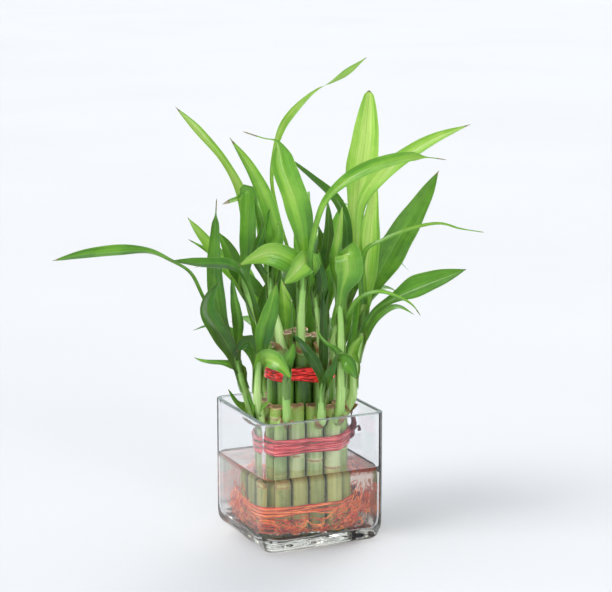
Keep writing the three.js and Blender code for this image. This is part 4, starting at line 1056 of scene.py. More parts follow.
def add_vase():
    """The glass: from the middle of its hollowed underside out, up, over the rim and down inside.

    The underside rises by 1 less the square of its radius, the rim is two quarter circles,
    and the outer heel waves in and out by two sines of the angle.
    """
    under = np.linspace(NO_WIDTH, UNDERSIDE_REACH - 0.5, 15)
    out_half, out_rise = heel_curve(OUTER_HEEL, 14)
    in_half, in_rise = heel_curve(INNER_HEEL, 12)
    floor = np.linspace(INNER_REACH, NO_WIDTH, 15)
    quarter = np.linspace(0, math.pi / 2, 5)
    lip_half = np.r_[
        VASE_HALF - RIM_EDGE * (1 - np.cos(quarter)),
        INNER_HALF + RIM_EDGE * (1 - np.cos(quarter[::-1])),
    ]
    lip_height = VASE_HEIGHT - RIM_EDGE * (1 - np.sin(np.r_[quarter, quarter[::-1]]))
    lip_corner = VASE_CORNER - (VASE_HALF - lip_half) * (VASE_CORNER - INNER_CORNER) / WALL
    dome = UNDERSIDE_RISE * (1 - (under / UNDERSIDE_REACH) ** 2)
    halves, heights, corners, section = joined(
        (under, dome, np.minimum(under, VASE_CORNER)),
        (out_half, out_rise, VASE_CORNER),
        (VASE_HALF, np.linspace(14, VASE_HEIGHT - 4, 10), VASE_CORNER),
        (lip_half, lip_height, lip_corner),
        (INNER_HALF, np.linspace(VASE_HEIGHT - 4, FLOOR + HEEL_TOP, 10), INNER_CORNER),
        (in_half[::-1], FLOOR + in_rise[::-1], INNER_CORNER),
        (floor, FLOOR, np.minimum(floor, INNER_CORNER)),
    )
    rows = square_rings(halves, corners, heights)
    order = np.arange(len(rows))[:, None]
    sets_in, fades = HEEL_ROWS
    heel = smooth_step(order, *sets_in) * (1 - smooth_step(order, *fades))
    angle = np.arctan2(rows[..., 1], rows[..., 0])
    waves = 0.6 * np.sin(7 * angle + 0.8) + 0.4 * np.sin(12 * angle + 2.6)
    rows[..., :2] *= 1 - HEEL_WAVES * (heel * (0.9 + waves))[..., None]
    below = 0.9 * glass_waves(rows[..., 1], rows[..., 0]) * np.minimum(rows[..., 2] / 1.4, 1)
    rows[..., 2] += np.where(section == 0, below, 0)
    rows[..., 2] += np.where(section > 4, floor_waves(rows), 0)
    rows[..., 2] = np.maximum(rows[..., 2], 0)
    piece = Piece("vase_glass")
    piece.grid(rows, wrap=True, lip=section == 3)
    piece.make([CLEAR_GLASS], "vase", turn=False)


def add_water():
    """The water: the vase's inside, laid a bite into the glass, its rim drawn up the walls.

    The rim's rise falls off as e to the power of minus the distance from the wall.
    """
    in_half, in_rise = heel_curve(INNER_HEEL, 12)
    off_wall = np.array([0.2, 0.5, 0.9, 1.4, 2.0, 3.0])
    wall = np.linspace(FLOOR + HEEL_TOP, WATER_LEVEL + 0.7, 8)
    halves, heights, painted_waterline_share, section = joined(
        (np.linspace(NO_WIDTH, INNER_REACH, 15), FLOOR - BITE, 0),
        (in_half + BITE, FLOOR - BITE + in_rise, 0),
        (INNER_HALF + BITE, wall, wall > WATER_LEVEL),
        (INNER_HALF - off_wall, WATER_LEVEL + CREEP * np.exp(-off_wall / 0.7),
         [1, 1, 0.7, 0.4, 0.2, 0]),
        ([36, 27, 18, 9, NO_WIDTH], WATER_LEVEL, 0),
    )
    rows = square_rings(halves, np.minimum(halves, INNER_CORNER), heights)
    rows[..., 2] += np.where(section < 2, floor_waves(rows), 0)
    piece = Piece("vase_water")
    # edge marks the water's rim up the walls, which its material tints as a painted reflection.
    piece.grid(rows, wrap=True, edge=painted_waterline_share[:, None])
    piece.make([CLEAR_WATER], "water", turn=False)


# Leaves and shoots

# How a blade's width runs along it, as pairs of a share of its length and a share of its
# full width. The width goes smoothly from each pair to the next.
SHAPES = {
    "blade": [(0, 0.3), (0.42, 1), (0.55, 0.95), (0.7, 0.76), (0.85, 0.45), (1, 0)],
    "neck": [(0, 0.35), (0.35, 0.35), (0.62, 1), (0.75, 0.9), (0.9, 0.45), (1, 0)],
    "long_neck": [(0, 0.3), (0.5, 0.3), (0.74, 1), (0.84, 0.87), (0.94, 0.45), (1, 0)],
    "blunt": [
        (0, 0.3), (0.3, 0.3), (0.66, 1), (0.78, 0.92), (0.87, 0.7), (0.95, 0.45), (0.985, 0.28),
        (1, 0),
    ],
    "pointed": [(0, 0.35), (0.3, 0.85), (0.48, 1), (0.66, 0.82), (0.82, 0.4), (1, 0)],
    "strap": [(0, 0.7), (0.3, 1), (0.55, 0.9), (0.8, 0.6), (1, 0)],
    "two_lobes": [(0, 0.3), (0.45, 0.28), (0.66, 0.56), (0.82, 0.12), (0.91, 0.5), (1, 0)],
    "curled_end": [
        (0, 0.35), (0.4, 0.95), (0.6, 1), (0.77, 0.8), (0.85, 0.28), (0.93, 0.3), (1, 0)
    ],
    "folded_top": [(0, 0.3), (0.28, 0.36), (0.56, 1), (0.7, 1), (0.82, 0.9), (0.9, 0.5), (1, 0)],
    "uneven": [(0, 0.5), (0.2, 0.75), (0.42, 0.68), (0.6, 0.5), (0.8, 0.66), (0.93, 0.34), (1, 0)],
}
FACINGS = {
    "front": (0.0, -1, 0.15),
    "half": (0, -0.7, 0.7),
    "up": (0, -0.3, 1.0),
    "left": (-1, -0.2, 0.2),
}
SHEATH_LENGTH = 26.0
SHEATH_LEAD = 16
SHEATH_ARC = 4.5
TOP_SHEATH_ARC = 5.7
LEAF_STATION = 2.6
LEAF_COLUMNS = 11
THREAD_WIDTH = 1.0
# As shares of a blade's width: its edge's greatest ripple, its crease and its lengthwise pleats
RIPPLE = 1 / 14
MIDDLE_CREASE = 0.045
PLEATS = 0.006
TIP_WIDTH = 0.35
TIP_OPENING = 2.6  # of the width for each mm from the tip
STEM_DEPTH = 4  # how far inside its cane a stem starts


def leaf(
    width, tone, dry, spine, shape="blade", facing="front", fold=20, twist=0, thread=0, turn=(0, 1)
):
    """A leaf: width in mm, fold and twist in degrees, tone from dark 0 to bright 1.

    dry is the length of its dry tip and thread that of a withered tip, both in mm. The
    twist takes place between the two shares of its length in turn.
    """
    return dict(
        width=width, tone=tone, dry=dry, spine=np.array(spine, float), shape=shape,
        facing=facing, fold=fold, twist=twist, thread=thread, turn=turn,
    )


def strap(width, tone, dry, spine, facing="half", thread=0):
    """A narrow, nearly flat young leaf."""
    return leaf(width, tone, dry, spine, "strap", facing, 10, thread=thread)


def shoot(cane, stem, **leaves):
    """A shoot's row. The leaves' names say which is which in the picture."""
    return dict(cane=cane, stem=stem, leaves=list(leaves.values()))


def width_share(shape, t):
    """The shape's shares of width at t, joined by a curve that is flat at no pair but the last."""
    curve = smooth_path([(place, 0, share) for place, share in SHAPES[shape]], 120)
    return np.maximum(np.interp(t, curve[:, 0], curve[:, 2]), 0)


def nearest(stem, point):
    """Which point of a stem's path is the least distance from this one."""
    return int(np.argmin(np.linalg.norm(stem["path"] - point, axis=1)))


def add_leaf(piece, row, stem, order, random):
    """A blade whose cross section is an arc of the blade's width.

    At its foot the arc wraps the stem as a sheath. It opens to the gutter of the blade,
    whose edges ripple and whose middle is creased. Points are the spine plus R sin(a)
    side plus R (1 - cos(a)) normal, with R the width over the arc's angle. The topmost
    leaf, of order 0, stays closed longer.
    """
    last = order == 0
    near = nearest(stem, row["spine"][0])
    foot = max(near - SHEATH_LEAD, 2)
    corners = np.vstack([stem["path"][[foot, (foot + near) // 2]], row["spine"]])
    lead = path_length(corners[:3])
    length = path_length(smooth_path(corners, 60))
    rows = int(np.clip(length / LEAF_STATION, 20, 90))
    path = smooth_path(corners, rows)
    run = np.linspace(0, length, rows)
    from_tip = length - run
    t = np.clip((run - lead) / (length - lead), 0, 1)
    twist = math.radians(row["twist"]) * smooth_step(t, *row["turn"])
    side, normal = turned(*across_frame(path, FACINGS[row["facing"]]), twist)

    sheath_arc = TOP_SHEATH_ARC if last else SHEATH_ARC
    sheath_end = min(lead + SHEATH_LENGTH * (1.1 if last else 0.7), 0.7 * length)
    opened = smooth_step(run, (0.9 if last else 0.4) * lead, sheath_end)
    wrap = stem["radius"][foot] + 0.3 + 0.14 * order
    withered = smooth_step(from_tip, 0.8 * row["thread"], 1.5 * row["thread"] + 0.01)
    uneven = 1 + 0.05 * np.sin(9 * t + random.uniform(0, TAU)) + 0.03 * np.sin(23 * t)
    blade = np.maximum(row["width"] * width_share(row["shape"], t) * uneven, THREAD_WIDTH)
    blade = THREAD_WIDTH + (blade - THREAD_WIDTH) * withered
    blade = np.minimum(blade, TIP_WIDTH + TIP_OPENING * from_tip)
    blade_arc = 4 * math.sin(math.radians(row["fold"]))
    arc = (sheath_arc + (blade_arc - sheath_arc) * opened)[:, None]
    width = (sheath_arc * wrap + (blade - sheath_arc * wrap) * opened)[:, None]
    radius = width / arc

    opened, wide = opened[:, None], blade[:, None]
    share = np.linspace(-1, 1, LEAF_COLUMNS)
    bend = share * arc / 2
    ripple = random.uniform(0.3, 0.9) * RIPPLE
    waves = random.uniform(1.2, 2.6)
    phase = random.uniform(0, TAU, 2)
    swing = np.sin(TAU * waves * t[:, None] + np.where(share < 0, phase[0], phase[1]))
    relief = ripple * swing * share**2 - MIDDLE_CREASE * bell(share, 0.16)
    relief = relief + PLEATS * np.cos(11 * share)
    height = radius * (opened - np.cos(bend)) + relief * wide * opened
    points = (
        path[:, None, :]
        + (radius * np.sin(bend))[..., None] * side[:, None, :]
        + height[..., None] * normal[:, None, :]
    )
    piece.grid(
        points, v=run / 100, tone=np.clip(row["tone"] + random.uniform(-0.05, 0.05), 0, 1),
        dry=1 - smooth_step(from_tip, 0.3 * row["dry"], row["dry"])[:, None],
        pale=1 - smooth_step(run, 0.5 * lead, lead + 16)[:, None],
        grain=random.uniform(0, GRAINS),
    )


def stem_path(place, points):
    """A stem's path from inside its cane, in steps of 1 mm, with its radius along it."""
    corners = np.array([(*place, points[0][2] - STEM_DEPTH), *points])
    rows = int(path_length(corners))
    radius = STEM_FOOT_RADIUS + (STEM_TOP_RADIUS - STEM_FOOT_RADIUS) * np.linspace(0, 1, rows)
    return dict(path=smooth_path(corners, rows), radius=radius)


def add_stem(piece, stem, feet, random):
    """A stem whose radius swells a little below each leaf's foot and steps back above it.

    It flares where it leaves the cane, and narrows to a point inside its topmost sheath.
    """
    rows = min(max(feet) + SHEATH_LEAD, len(stem["path"]))
    at = np.arange(rows, dtype=float)
    marks = np.r_[0, np.sort(feet), rows]
    place = np.searchsorted(marks, at, side="right")
    below = marks[np.clip(place - 1, 0, len(marks) - 2)]
    above = marks[np.clip(place, 1, len(marks) - 1)]
    swell = 0.98 + 0.03 * (at - below) / np.maximum(above - below, 1)
    flare = 1 + 0.12 * bell(at - 6, 5)
    tip = np.clip((rows - 1 - at) / 12, 0, 1) ** 0.6
    radius = stem["radius"][:rows] * swell * flare * tip
    radius[0] = 0
    piece.tube(
        stem["path"][:rows], radius, sides=14, material=1, v=at / 100,
        dry=0.5 * bell(at - 4, 3)[:, None],
        ring=(bell(at - below, 0.9) * (below > 0))[:, None],
        young=smooth_step(at, rows - 45, rows - 4)[:, None],
        tone=random.uniform(0.3, 0.7), grain=random.uniform(0, GRAINS),
    )


def add_bract(piece, stem, turn, random):
    """A papery scale at a stem's foot: an arc round it that narrows upward and curls away."""
    first = random.integers(3, 6)
    reach = min(random.integers(8, 14), len(stem["path"]) - first - 2)
    t = np.linspace(0, 1, 9)
    at = first + (t * reach).astype(int)
    side, normal = across_frame(stem["path"], LEVEL_HINT)
    half = (1.35 * np.sqrt(1 - t**2) + 0.02)[:, None]
    ragged = 1 + 0.12 * random.normal(0, 1, (9, 1)) * t[:, None]
    angle = turn + np.linspace(-1, 1, 9) * half * ragged
    radius = 1.18 * stem["radius"][at] + 0.2 + 1.8 * t**2.5
    ring = radius[:, None, None] * ring_about(side[at], normal[at], angle)
    piece.grid(
        stem["path"][at][:, None, :] + ring, material=1, v=at / 100,
        dry=(0.2 + 0.75 * t**1.5)[:, None], tone=0.5, grain=random.uniform(0, GRAINS),
    )


def add_shoot(name, row, random):
    """A shoot: its leaves, each wrapped outside those above it, its stem and two scales."""
    piece = Piece(f"leafy_{name}")
    stem = stem_path(CANES[row["cane"]]["place"], row["stem"])
    starts = [nearest(stem, blade["spine"][0]) for blade in row["leaves"]]
    orders = len(starts) - 1 - np.argsort(np.argsort(starts))
    for blade, order in zip(row["leaves"], orders):
        add_leaf(piece, blade, stem, order, random)
    add_stem(piece, stem, [max(start - SHEATH_LEAD, 2) for start in starts], random)
    turn = random.uniform(0, TAU)
    add_bract(piece, stem, turn, random)
    add_bract(piece, stem, turn + random.uniform(1.8, 3.2), random)
    piece.make([LEAF_GREEN, STEM_GREEN], f"shoot_{name}")


# For each shoot that the picture shows: its cane, the points of its stem and its leaves
SHOOTS = {
    "left_front": shoot(
        "left_front", [(-27, -22, 93), (-31, -26, 112), (-31, -26, 127), (-30, -25, 141),
            (-27, -24, 154), (-27, -22, 168)],
        arching=leaf(15, 0.8, 3, [(-30, -27, 134), (-27, -31, 144), (-21, -38, 147),
            (-13, -45, 143), (-5, -50, 134)]),
        broad=leaf(16, 0.56, 3, [(-28, -27, 145), (-26, -31, 163), (-20, -34, 185),
            (-16, -33, 204)], fold=24),
        folded=leaf(14, 0.3, 3, [(-31, -24, 138), (-34, -18, 149), (-38, -16, 155),
            (-43, -16, 152), (-47, -16, 147)], fold=16),
        shelf=leaf(11, 0.25, 3, [(-27, -23, 162), (-32, -27, 183), (-37, -29, 201),
            (-43, -30, 212), (-52, -30, 217), (-72, -30, 218), (-96, -30, 220)], shape="neck",
            facing="half", fold=18),
        dark=leaf(14, 0.12, 3, [(-27, -22, 161), (-25, -9, 180), (-21, -5, 195), (-13, -4, 211)]),
        young_left=strap(4, 0.6, 2, [(-31, -26, 100), (-35, -30, 108), (-39, -32, 119)]),
        young_right=strap(4, 0.7, 2, [(-31, -26, 101), (-27, -31, 107), (-21, -34, 113)]),
    ),
    "left_back": shoot(
        "left_back", [(-34, 0, 91), (-40, -4, 110), (-44, -6, 124), (-47, -6, 137),
            (-49, -5, 150)],
        bent=leaf(16, 0.12, 2, [(-46, -8, 132), (-54, -12, 151), (-63, -14, 167), (-69, -12, 179),
            (-67, -9, 189), (-60, -6, 199)], fold=22),
        low=strap(5, 0.5, 3, [(-44, -6, 130), (-54, -9, 136), (-66, -8, 137), (-75, -6, 138),
            (-80, -5, 140)]),
        tall=leaf(14, 0.32, 12, [(-49, -3, 144), (-58, 1, 167), (-63, 1, 192), (-64, 0, 217),
            (-63, 1, 242), (-62, 2, 262)], fold=25, thread=13),
        far=leaf(11, 0.38, 7, [(-48, -5, 140), (-53, 1, 150), (-60, 7, 162), (-72, 8, 182),
            (-83, 7, 204), (-98, 5, 214), (-113, 3, 221), (-136, 0, 222), (-162, -3, 220),
            (-187, -4, 215)], shape="long_neck", facing="half", fold=16),
        scale=strap(4, 0.5, 3, [(-40, -3, 99), (-47, -6, 104), (-54, -9, 116)]),
        inner=leaf(9, 0.4, 3, [(-47, -6, 145), (-46, -5, 165), (-49, -4, 186), (-51, -3, 203)]),
    ),
    "front_left": shoot(
        "front_1", [(-9, -38, 98), (-9, -40, 114), (-9, -40, 128), (-8, -39, 138)],
        pale=leaf(9, 0.6, 3, [(-8, -40, 135), (-8, -40, 145), (-5, -39, 152), (-3, -38, 160)],
            fold=18),
        slim=strap(5, 0.3, 3, [(-8, -38, 133), (-5, -33, 152), (-4, -30, 171), (-6, -29, 188),
            (-13, -29, 199)], facing="left"),
    ),
    "front_right": shoot(
        "front_3", [(17, -36, 98), (17, -38, 112), (17, -38, 123), (19, -36, 133)],
        low=leaf(9, 0.25, 3, [(19, -39, 127), (14, -43, 142), (7, -45, 154), (1, -44, 162),
            (-5, -42, 167)], fold=22),
        black=leaf(8, 0.05, 3, [(19, -34, 129), (19, -32, 152), (19, -31, 175), (18, -30, 198)],
            fold=26),
        side=leaf(8, 0.45, 3, [(19, -38, 124), (23, -44, 136), (27, -48, 145), (29, -49, 151)],
            fold=24),
    ),
    "front_far_right": shoot(
        "front_4", [(30, -30, 99), (32, -32, 117), (32, -32, 144), (32, -31, 171), (30, -29, 193),
            (28, -27, 208)],
        blunt=leaf(20, 0.72, 3, [(32, -32, 177), (33, -36, 197), (38, -39, 213), (37, -39, 225),
            (36, -35, 228), (36, -31, 219)], shape="folded_top", fold=7),
        crossing=leaf(9, 0.22, 5, [(31, -27, 188), (36, -20, 207), (37, -16, 229), (35, -14, 250),
            (28, -12, 264), (10, -8, 280), (-11, -4, 297)], facing="half", fold=16),
        pale=leaf(8, 0.75, 3, [(29, -27, 201), (27, -27, 218), (30, -27, 239), (33, -25, 261)],
            fold=18),
        hanging=leaf(13, 0.55, 3, [(31, -33, 139), (30, -38, 144), (35, -43, 146), (39, -46, 142),
            (44, -48, 133)]),
        thin=strap(4, 0.65, 3, [(33, -34, 143), (28, -39, 154), (21, -40, 159), (16, -40, 165),
            (14, -39, 172)]),
        thread=strap(4, 0.6, 7, [(32, -31, 163), (39, -33, 182), (45, -35, 192), (59, -38, 198),
            (74, -41, 195), (85, -43, 189), (91, -44, 181)]),
    ),
    "right_front": shoot(
        "right_front", [(36, -13, 101), (41, -15, 111), (42, -16, 129), (45, -15, 144),
            (48, -14, 160), (50, -13, 175), (51, -12, 188)],
        upright=leaf(17, 0.9, 5, [(49, -14, 170), (51, -16, 195), (53, -17, 222), (55, -16, 252),
            (59, -13, 280)], fold=18),
        wide=leaf(24, 0.38, 5, [(51, -10, 180), (60, -8, 203), (71, -7, 224), (84, -6, 246),
            (96, -4, 266), (106, -2, 284)]),
        lower=leaf(20, 0.36, 3, [(48, -16, 155), (52, -22, 169), (59, -25, 181), (73, -27, 191),
            (95, -28, 201), (126, -27, 213)], shape="neck", facing="half"),
        bright=leaf(9, 0.85, 3, [(43, -18, 135), (41, -25, 147), (44, -27, 156), (50, -27, 163)]),
        back_stem=leaf(15, 0.8, 6, [(50, -13, 173), (48, -21, 211), (45, -24, 238),
            (48, -25, 263), (60, -26, 281), (77, -27, 296), (99, -28, 310), (127, -29, 322)],
            shape="neck", facing="half", fold=18),
        ribbon=strap(4, 0.6, 3, [(50, -13, 177), (48, -21, 192), (47, -28, 209), (51, -32, 229),
            (62, -34, 236), (83, -35, 245), (105, -35, 249), (120, -34, 245), (138, -33, 242)]),
    ),
    "upper_left": shoot(
        "upper_1", [(-12, -24, 150), (-15, -20, 165), (-20, -18, 184), (-21, -17, 203),
            (-21, -16, 216)],
        long=leaf(15, 0.6, 8, [(-21, -17, 195), (-17, -18, 222), (-21, -20, 253), (-34, -20, 285),
            (-51, -18, 311)], facing="half", fold=22),
        narrow=leaf(7, 0.3, 3, [(-21, -18, 199), (-32, -22, 221), (-27, -22, 240),
            (-21, -20, 258)], fold=18),
        short=leaf(8, 0.35, 3, [(-21, -15, 206), (-24, -12, 229), (-29, -11, 249),
            (-33, -10, 264)]),
        striped=leaf(9, 0.65, 3, [(-21, -18, 212), (-17, -24, 229), (-14, -25, 239),
            (-15, -24, 248)], fold=16),
    ),
    "upper_centre": shoot(
        "upper_2", [(2, -24, 152), (2, -27, 173), (3, -28, 191), (4, -28, 208), (5, -27, 218)],
        dropped=leaf(18, 0.84, 3, [(4, -29, 204), (8, -34, 215), (7, -38, 221), (4, -42, 219),
            (-2, -45, 213), (-11, -46, 205)], fold=9),
        ribbed=leaf(20, 0.78, 3, [(4, -29, 201), (-1, -34, 215), (-9, -38, 223), (-21, -41, 227),
            (-33, -43, 224), (-44, -44, 219)], shape="pointed", fold=10),
        big=leaf(22, 0.65, 16, [(5, -27, 214), (4, -28, 241), (-2, -29, 267), (-10, -28, 289),
            (-16, -25, 309), (-25, -24, 311), (-41, -23, 316)], thread=27),
        top=leaf(11, 0.75, 3, [(4, -27, 197), (-6, -14, 221), (-15, -10, 251), (-20, -8, 279),
            (-17, -7, 302), (-11, -6, 319), (1, -5, 334), (15, -4, 346), (25, -4, 351),
            (36, -3, 358), (51, -2, 369)], shape="two_lobes",
            fold=18, twist=180, turn=(0.78, 0.86)),
    ),
    "upper_right": shoot(
        "upper_3", [(18, -20, 148), (16, -24, 170), (13, -25, 189), (12, -25, 206)],
        arch=leaf(13, 0.6, 10, [(12, -25, 195), (9, -40, 221), (12, -45, 244), (20, -45, 267),
            (34, -44, 281), (54, -43, 292), (76, -42, 298), (92, -40, 299), (109, -39, 297)],
            shape="neck", facing="half", thread=16),
        mid=leaf(10, 0.15, 3, [(12, -24, 200), (21, -22, 223), (23, -20, 243), (22, -18, 264)],
            fold=22),
        back=leaf(10, 0.25, 3, [(13, -23, 192), (15, -20, 211), (18, -17, 230), (15, -15, 245)]),
        wing=leaf(9, 0.2, 3, [(14, -25, 183), (18, -30, 202), (16, -32, 215), (15, -32, 229)]),
    ),
    "upper_far_left": shoot(
        "upper_4", [(-22, -10, 145), (-28, -4, 163), (-36, 0, 182), (-41, 2, 198), (-42, 3, 213)],
        upright=leaf(14, 0.55, 9, [(-42, 1, 195), (-39, -3, 219), (-38, -6, 243), (-37, -6, 261),
            (-38, -3, 269), (-44, 2, 263), (-58, 5, 257)], shape="curled_end",
            fold=16, twist=50, turn=(0.72, 1)),
        outer=leaf(13, 0.8, 6, [(-42, 4, 205), (-39, 5, 236), (-43, 4, 264), (-56, 2, 290),
            (-73, 0, 311), (-92, -2, 332)], shape="uneven", facing="half"),
        shade=leaf(14, 0.25, 3, [(-40, 3, 191), (-48, 8, 209), (-54, 9, 223), (-61, 9, 235)]),
        fan=leaf(12, 0.8, 3, [(-39, 3, 186), (-51, 13, 203), (-66, 16, 221), (-85, 17, 245)],
            fold=14),
        small=leaf(5, 0.45, 5, [(-37, 2, 184), (-51, 18, 199), (-70, 22, 218), (-85, 23, 227)],
            fold=14),
    ),
    "upper_far_right": shoot(
        "upper_7", [(24, -4, 139), (29, -4, 157), (33, -5, 176), (37, -6, 193), (39, -7, 209)],
        tallest=leaf(24, 0.85, 2, [(37, -6, 188), (40, -6, 215), (42, -6, 245), (46, -6, 276),
            (50, -6, 306), (52, -6, 329), (53, -6, 345)], shape="blunt", fold=14),
        slip=leaf(9, 0.35, 3, [(39, -5, 197), (38, 0, 213), (36, 3, 234), (34, 4, 261)], fold=18),
        rear=leaf(12, 0.3, 3, [(36, -4, 181), (44, 4, 199), (49, 8, 221), (50, 10, 248)],
            fold=18),
    ),
}

# Shoots behind the bunch lean out from their canes, and their leaves fan out and arch.
BACK_SHOOTS = {
    "back_left": dict(cane="back_1", lean=125, foot=96),
    "back_low": dict(cane="back_2", lean=101, foot=92),
    "back_middle": dict(cane="back_3", lean=84, foot=97),
    "back_right": dict(cane="back_4", lean=60, foot=93),
    "side_right": dict(cane="right_back", lean=40, foot=95),
    "high_left": dict(cane="upper_8", lean=118, foot=143),
    "high_middle": dict(cane="upper_9", lean=90, foot=147),
    "high_right": dict(cane="upper_10", lean=66, foot=143),
}
BACK_STEM = dict(reach=15, rise=36)
BACK_LEAVES = [
    dict(share=0.62, turn=34, reach=66, rise=38, width=13, tone=0.3),
    dict(share=0.8, turn=-26, reach=62, rise=56, width=15, tone=0.45),
    dict(share=0.98, turn=-4, reach=52, rise=68, width=14, tone=0.6),
]
# Shares of a path's reach and rise at its points
STEM_SHARES = [(0.75, 0.3), (1, 1)]
LEAF_SHARES = [(0.16, 0.42), (0.42, 0.83), (0.72, 1), (1, 0.86)]


def repeatable(seed):
    """Random numbers from 0 to 1 by the same rule as the solids: times 1664525 plus 1013904223."""
    state = seed
    while True:
        state = (state * 1664525 + 1013904223) % 4294967296
        yield state / 4294967296


def back_shoot(cane, lean, foot, draws):
    """The row of a shoot behind the bunch, worked out from its lean as its solid is."""

    def step(origin, degrees, reach, rise):
        angle = math.radians(degrees)
        x, y, z = origin
        return (x + reach * math.cos(angle), y + reach * math.sin(angle), z + rise)

    base = (*CANES[cane]["place"], foot)
    reach, rise = BACK_STEM["reach"], BACK_STEM["rise"]
    stem = [step(base, lean, 6, 0)]
    stem += [step(base, lean, far * reach, high * rise) for far, high in STEM_SHARES]
    path = smooth_path(stem, 201)
    leaves = []
    for blade in BACK_LEAVES:
        start = path[round(200 * blade["share"])]
        heading = lean + blade["turn"] + 8 * (next(draws) - 0.5)
        size = 0.85 + 0.3 * next(draws)
        out, up = blade["reach"] * size, blade["rise"] * size
        spine = [step(start, heading, far * out, high * up) for far, high in LEAF_SHARES]
        leaves.append(
            leaf(blade["width"], blade["tone"], 4, [start, *spine], facing="up", fold=18)
        )
    return dict(cane=cane, stem=stem, leaves=leaves)


# The plant in its vase

random = np.random.default_rng(5)
tilts = repeatable(7)
for cane_name in CANES:
    add_cane(cane_name, 0.16 * (next(tilts) - 0.5), random)
for shoot_name, shoot_row in SHOOTS.items():
    add_shoot(shoot_name, shoot_row, random)
draws = repeatable(11)
for shoot_name, shoot_row in BACK_SHOOTS.items():
    add_shoot(shoot_name, back_shoot(**shoot_row, draws=draws), random)
add_ribbon(
    "ribbon_lower", LOWER_PLACES, z=78.5, lift=3.2, strands=5, spread=10.5, facing=-0.1,
    knot=3.4, tail=1, materials=[RIBBON_LOWER, RIBBON_KNOT], random=random,
)
add_ribbon(
    "ribbon_upper", UPPER_PLACES, z=131, lift=1, strands=4, spread=10.5, facing=1.9,
    knot=3, tail=0.8, materials=[RIBBON_UPPER, RIBBON_UPPER], random=random,
)
add_ribbon(
    "ribbon_under_water", LOWER_PLACES, z=30, lift=2.2, strands=4, spread=7, facing=-0.15,
    knot=3.4, tail=0.6, materials=[RIBBON_WET, RIBBON_KNOT], random=random,
)
add_nest(random)
add_tuft(random)
add_vase()
add_water()

# Floor, light and camera

FLOOR_REACH = 20.0
CAMERA_TURN = -24.7
CAMERA_RISE = 11.46
CAMERA_DISTANCE = 1.5295
CAMERA_SIDE = 0.00582
CAMERA_HEIGHT = 0.18706
FRAME_WIDTH = 612
FOCAL_PIXELS = 2000
SENSOR_WIDTH = 36


def make_pale_floor():
    """A matt floor of one pale grey, barely clouded."""
    n = Finish("pale_floor")
    cloud = n.noise(n.place, 1.5, 3.0)
    colour = n.shades(cloud, (0.2, (199, 200, 203)), (0.8, (204, 205, 208)))
    return n.finish(n.get("BsdfPrincipled", {"Base Color": colour, "Roughness": 0.9}))


def put(name, data):
    """An object of the data, linked to the scene."""
    thing = bpy.data.objects.new(name, data)
    bpy.context.collection.objects.link(thing)
    return thing


def direction(turn, rise):
    """The way from the plant to a viewer who stands at this turn and height, in degrees."""
    turn, rise = math.radians(turn), math.radians(rise)
    level = math.cos(rise)
    return np.array([math.sin(turn) * level, -math.cos(turn) * level, math.sin(rise)])


def facing_back(back):
    """The directions right and up of something that looks away from back, with right level."""
    right = unit(np.cross([0, 0, 1], back))
    return right, np.cross(back, right)


def aim(thing, turn, rise, distance):
    """Places an object this far off the target and turns its -Z axis to it."""
    back = direction(turn, rise)
    matrix = np.eye(4)
    matrix[:3, :3] = np.column_stack([*facing_back(back), back])
    matrix[:3, 3] = target + back * distance
    thing.matrix_world = Matrix(matrix.tolist())


def far_light(name, turn, rise, spread, strength, colour):
    """A light as far as the sun, whose width of spread degrees softens its shadows."""
    lamp = bpy.data.lights.new(name, "SUN")
    lamp.angle = math.radians(spread)
    lamp.energy = strength
    lamp.color = colour
    aim(put(name, lamp), turn, rise, 3)


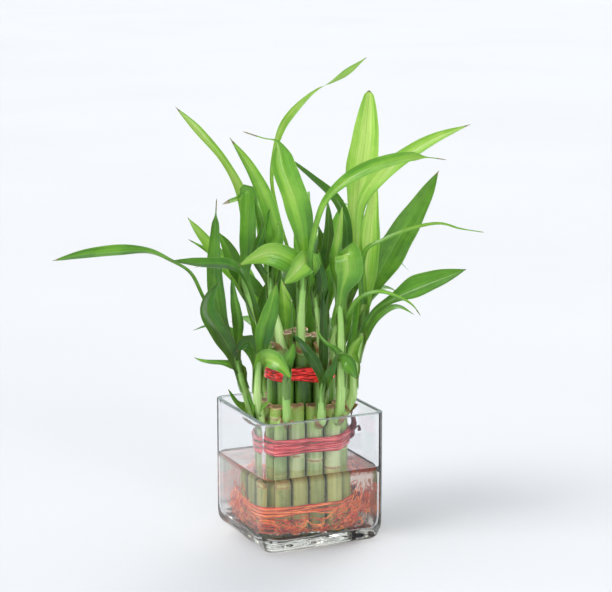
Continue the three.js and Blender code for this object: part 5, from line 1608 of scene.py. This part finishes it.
def soft_window(n, way, turn, rise, wide, tall):
    """A mask of a window far off at this turn and height, with soft edges.

    wide and tall are the tangents of half its width and half its height.
    """
    ahead = direction(turn, rise)

    def share(axis):
        feeds = {0: way, 1: axis.tolist()}
        return n.get("VectorMath", feeds, "Value", operation="DOT_PRODUCT")

    forward = n.maths("MAXIMUM", share(ahead), 0.05)
    mask = n.step(share(ahead), 0.0, 0.2)
    for axis, reach in zip(facing_back(ahead), (wide, tall)):
        off = n.maths("ABSOLUTE", share(axis) / forward)
        mask = mask * n.step(off, 0.75 * reach, reach, 1.0, 0.0)
    return mask


flat = bpy.data.meshes.new("pale_floor")
corners = [(-1, -1), (1, -1), (1, 1), (-1, 1)]
flat.from_pydata([(x * FLOOR_REACH, y * FLOOR_REACH, 0) for x, y in corners], [], [(0, 1, 2, 3)])
flat.materials.append(make_pale_floor())
put("pale_floor", flat)

camera_turn = math.radians(CAMERA_TURN)
target = np.array([math.cos(camera_turn), math.sin(camera_turn), 0]) * CAMERA_SIDE
target[2] = CAMERA_HEIGHT
lens = bpy.data.cameras.new("camera")
lens.sensor_width = SENSOR_WIDTH
lens.lens = FOCAL_PIXELS / FRAME_WIDTH * SENSOR_WIDTH
lens.clip_end = 200
bpy.context.scene.camera = put("camera", lens)
aim(bpy.context.scene.camera, CAMERA_TURN, CAMERA_RISE, CAMERA_DISTANCE)

far_light("key_light", -85, 50, 30, 1.72, (1.0, 0.985, 0.96))
far_light("back_light", 140, 42, 26, 1.0, (1.0, 1.0, 0.98))
far_light("fill_light", 5, 18, 30, 0.98, (0.97, 0.99, 1.0))

world = bpy.data.worlds.new("studio")
world.use_nodes = True
sky = Nodes(world.node_tree)
way = sky.get("TexCoord", output="Generated")
BASE_LIGHT = 0.26
WINDOWS = [  # turn, rise, half width and half height as tangents, strength
    (-105, 32, 0.8, 0.6, 0.75), (118, 38, 0.6, 0.6, 0.5), (160, 76, 0.8, 0.6, 1.2),
    (155, 13, 0.7, 0.3, 0.9),
]
glow = BASE_LIGHT
for *window, strength in WINDOWS:
    glow = soft_window(sky, way, *window) * strength + glow
background = world.node_tree.nodes["Background"].inputs
sky.feed(background["Color"], (0.93, 0.965, 1.0, 1.0))
sky.feed(background["Strength"], glow)
bpy.context.scene.world = world
bpy.context.scene.view_settings.view_transform = "Standard"
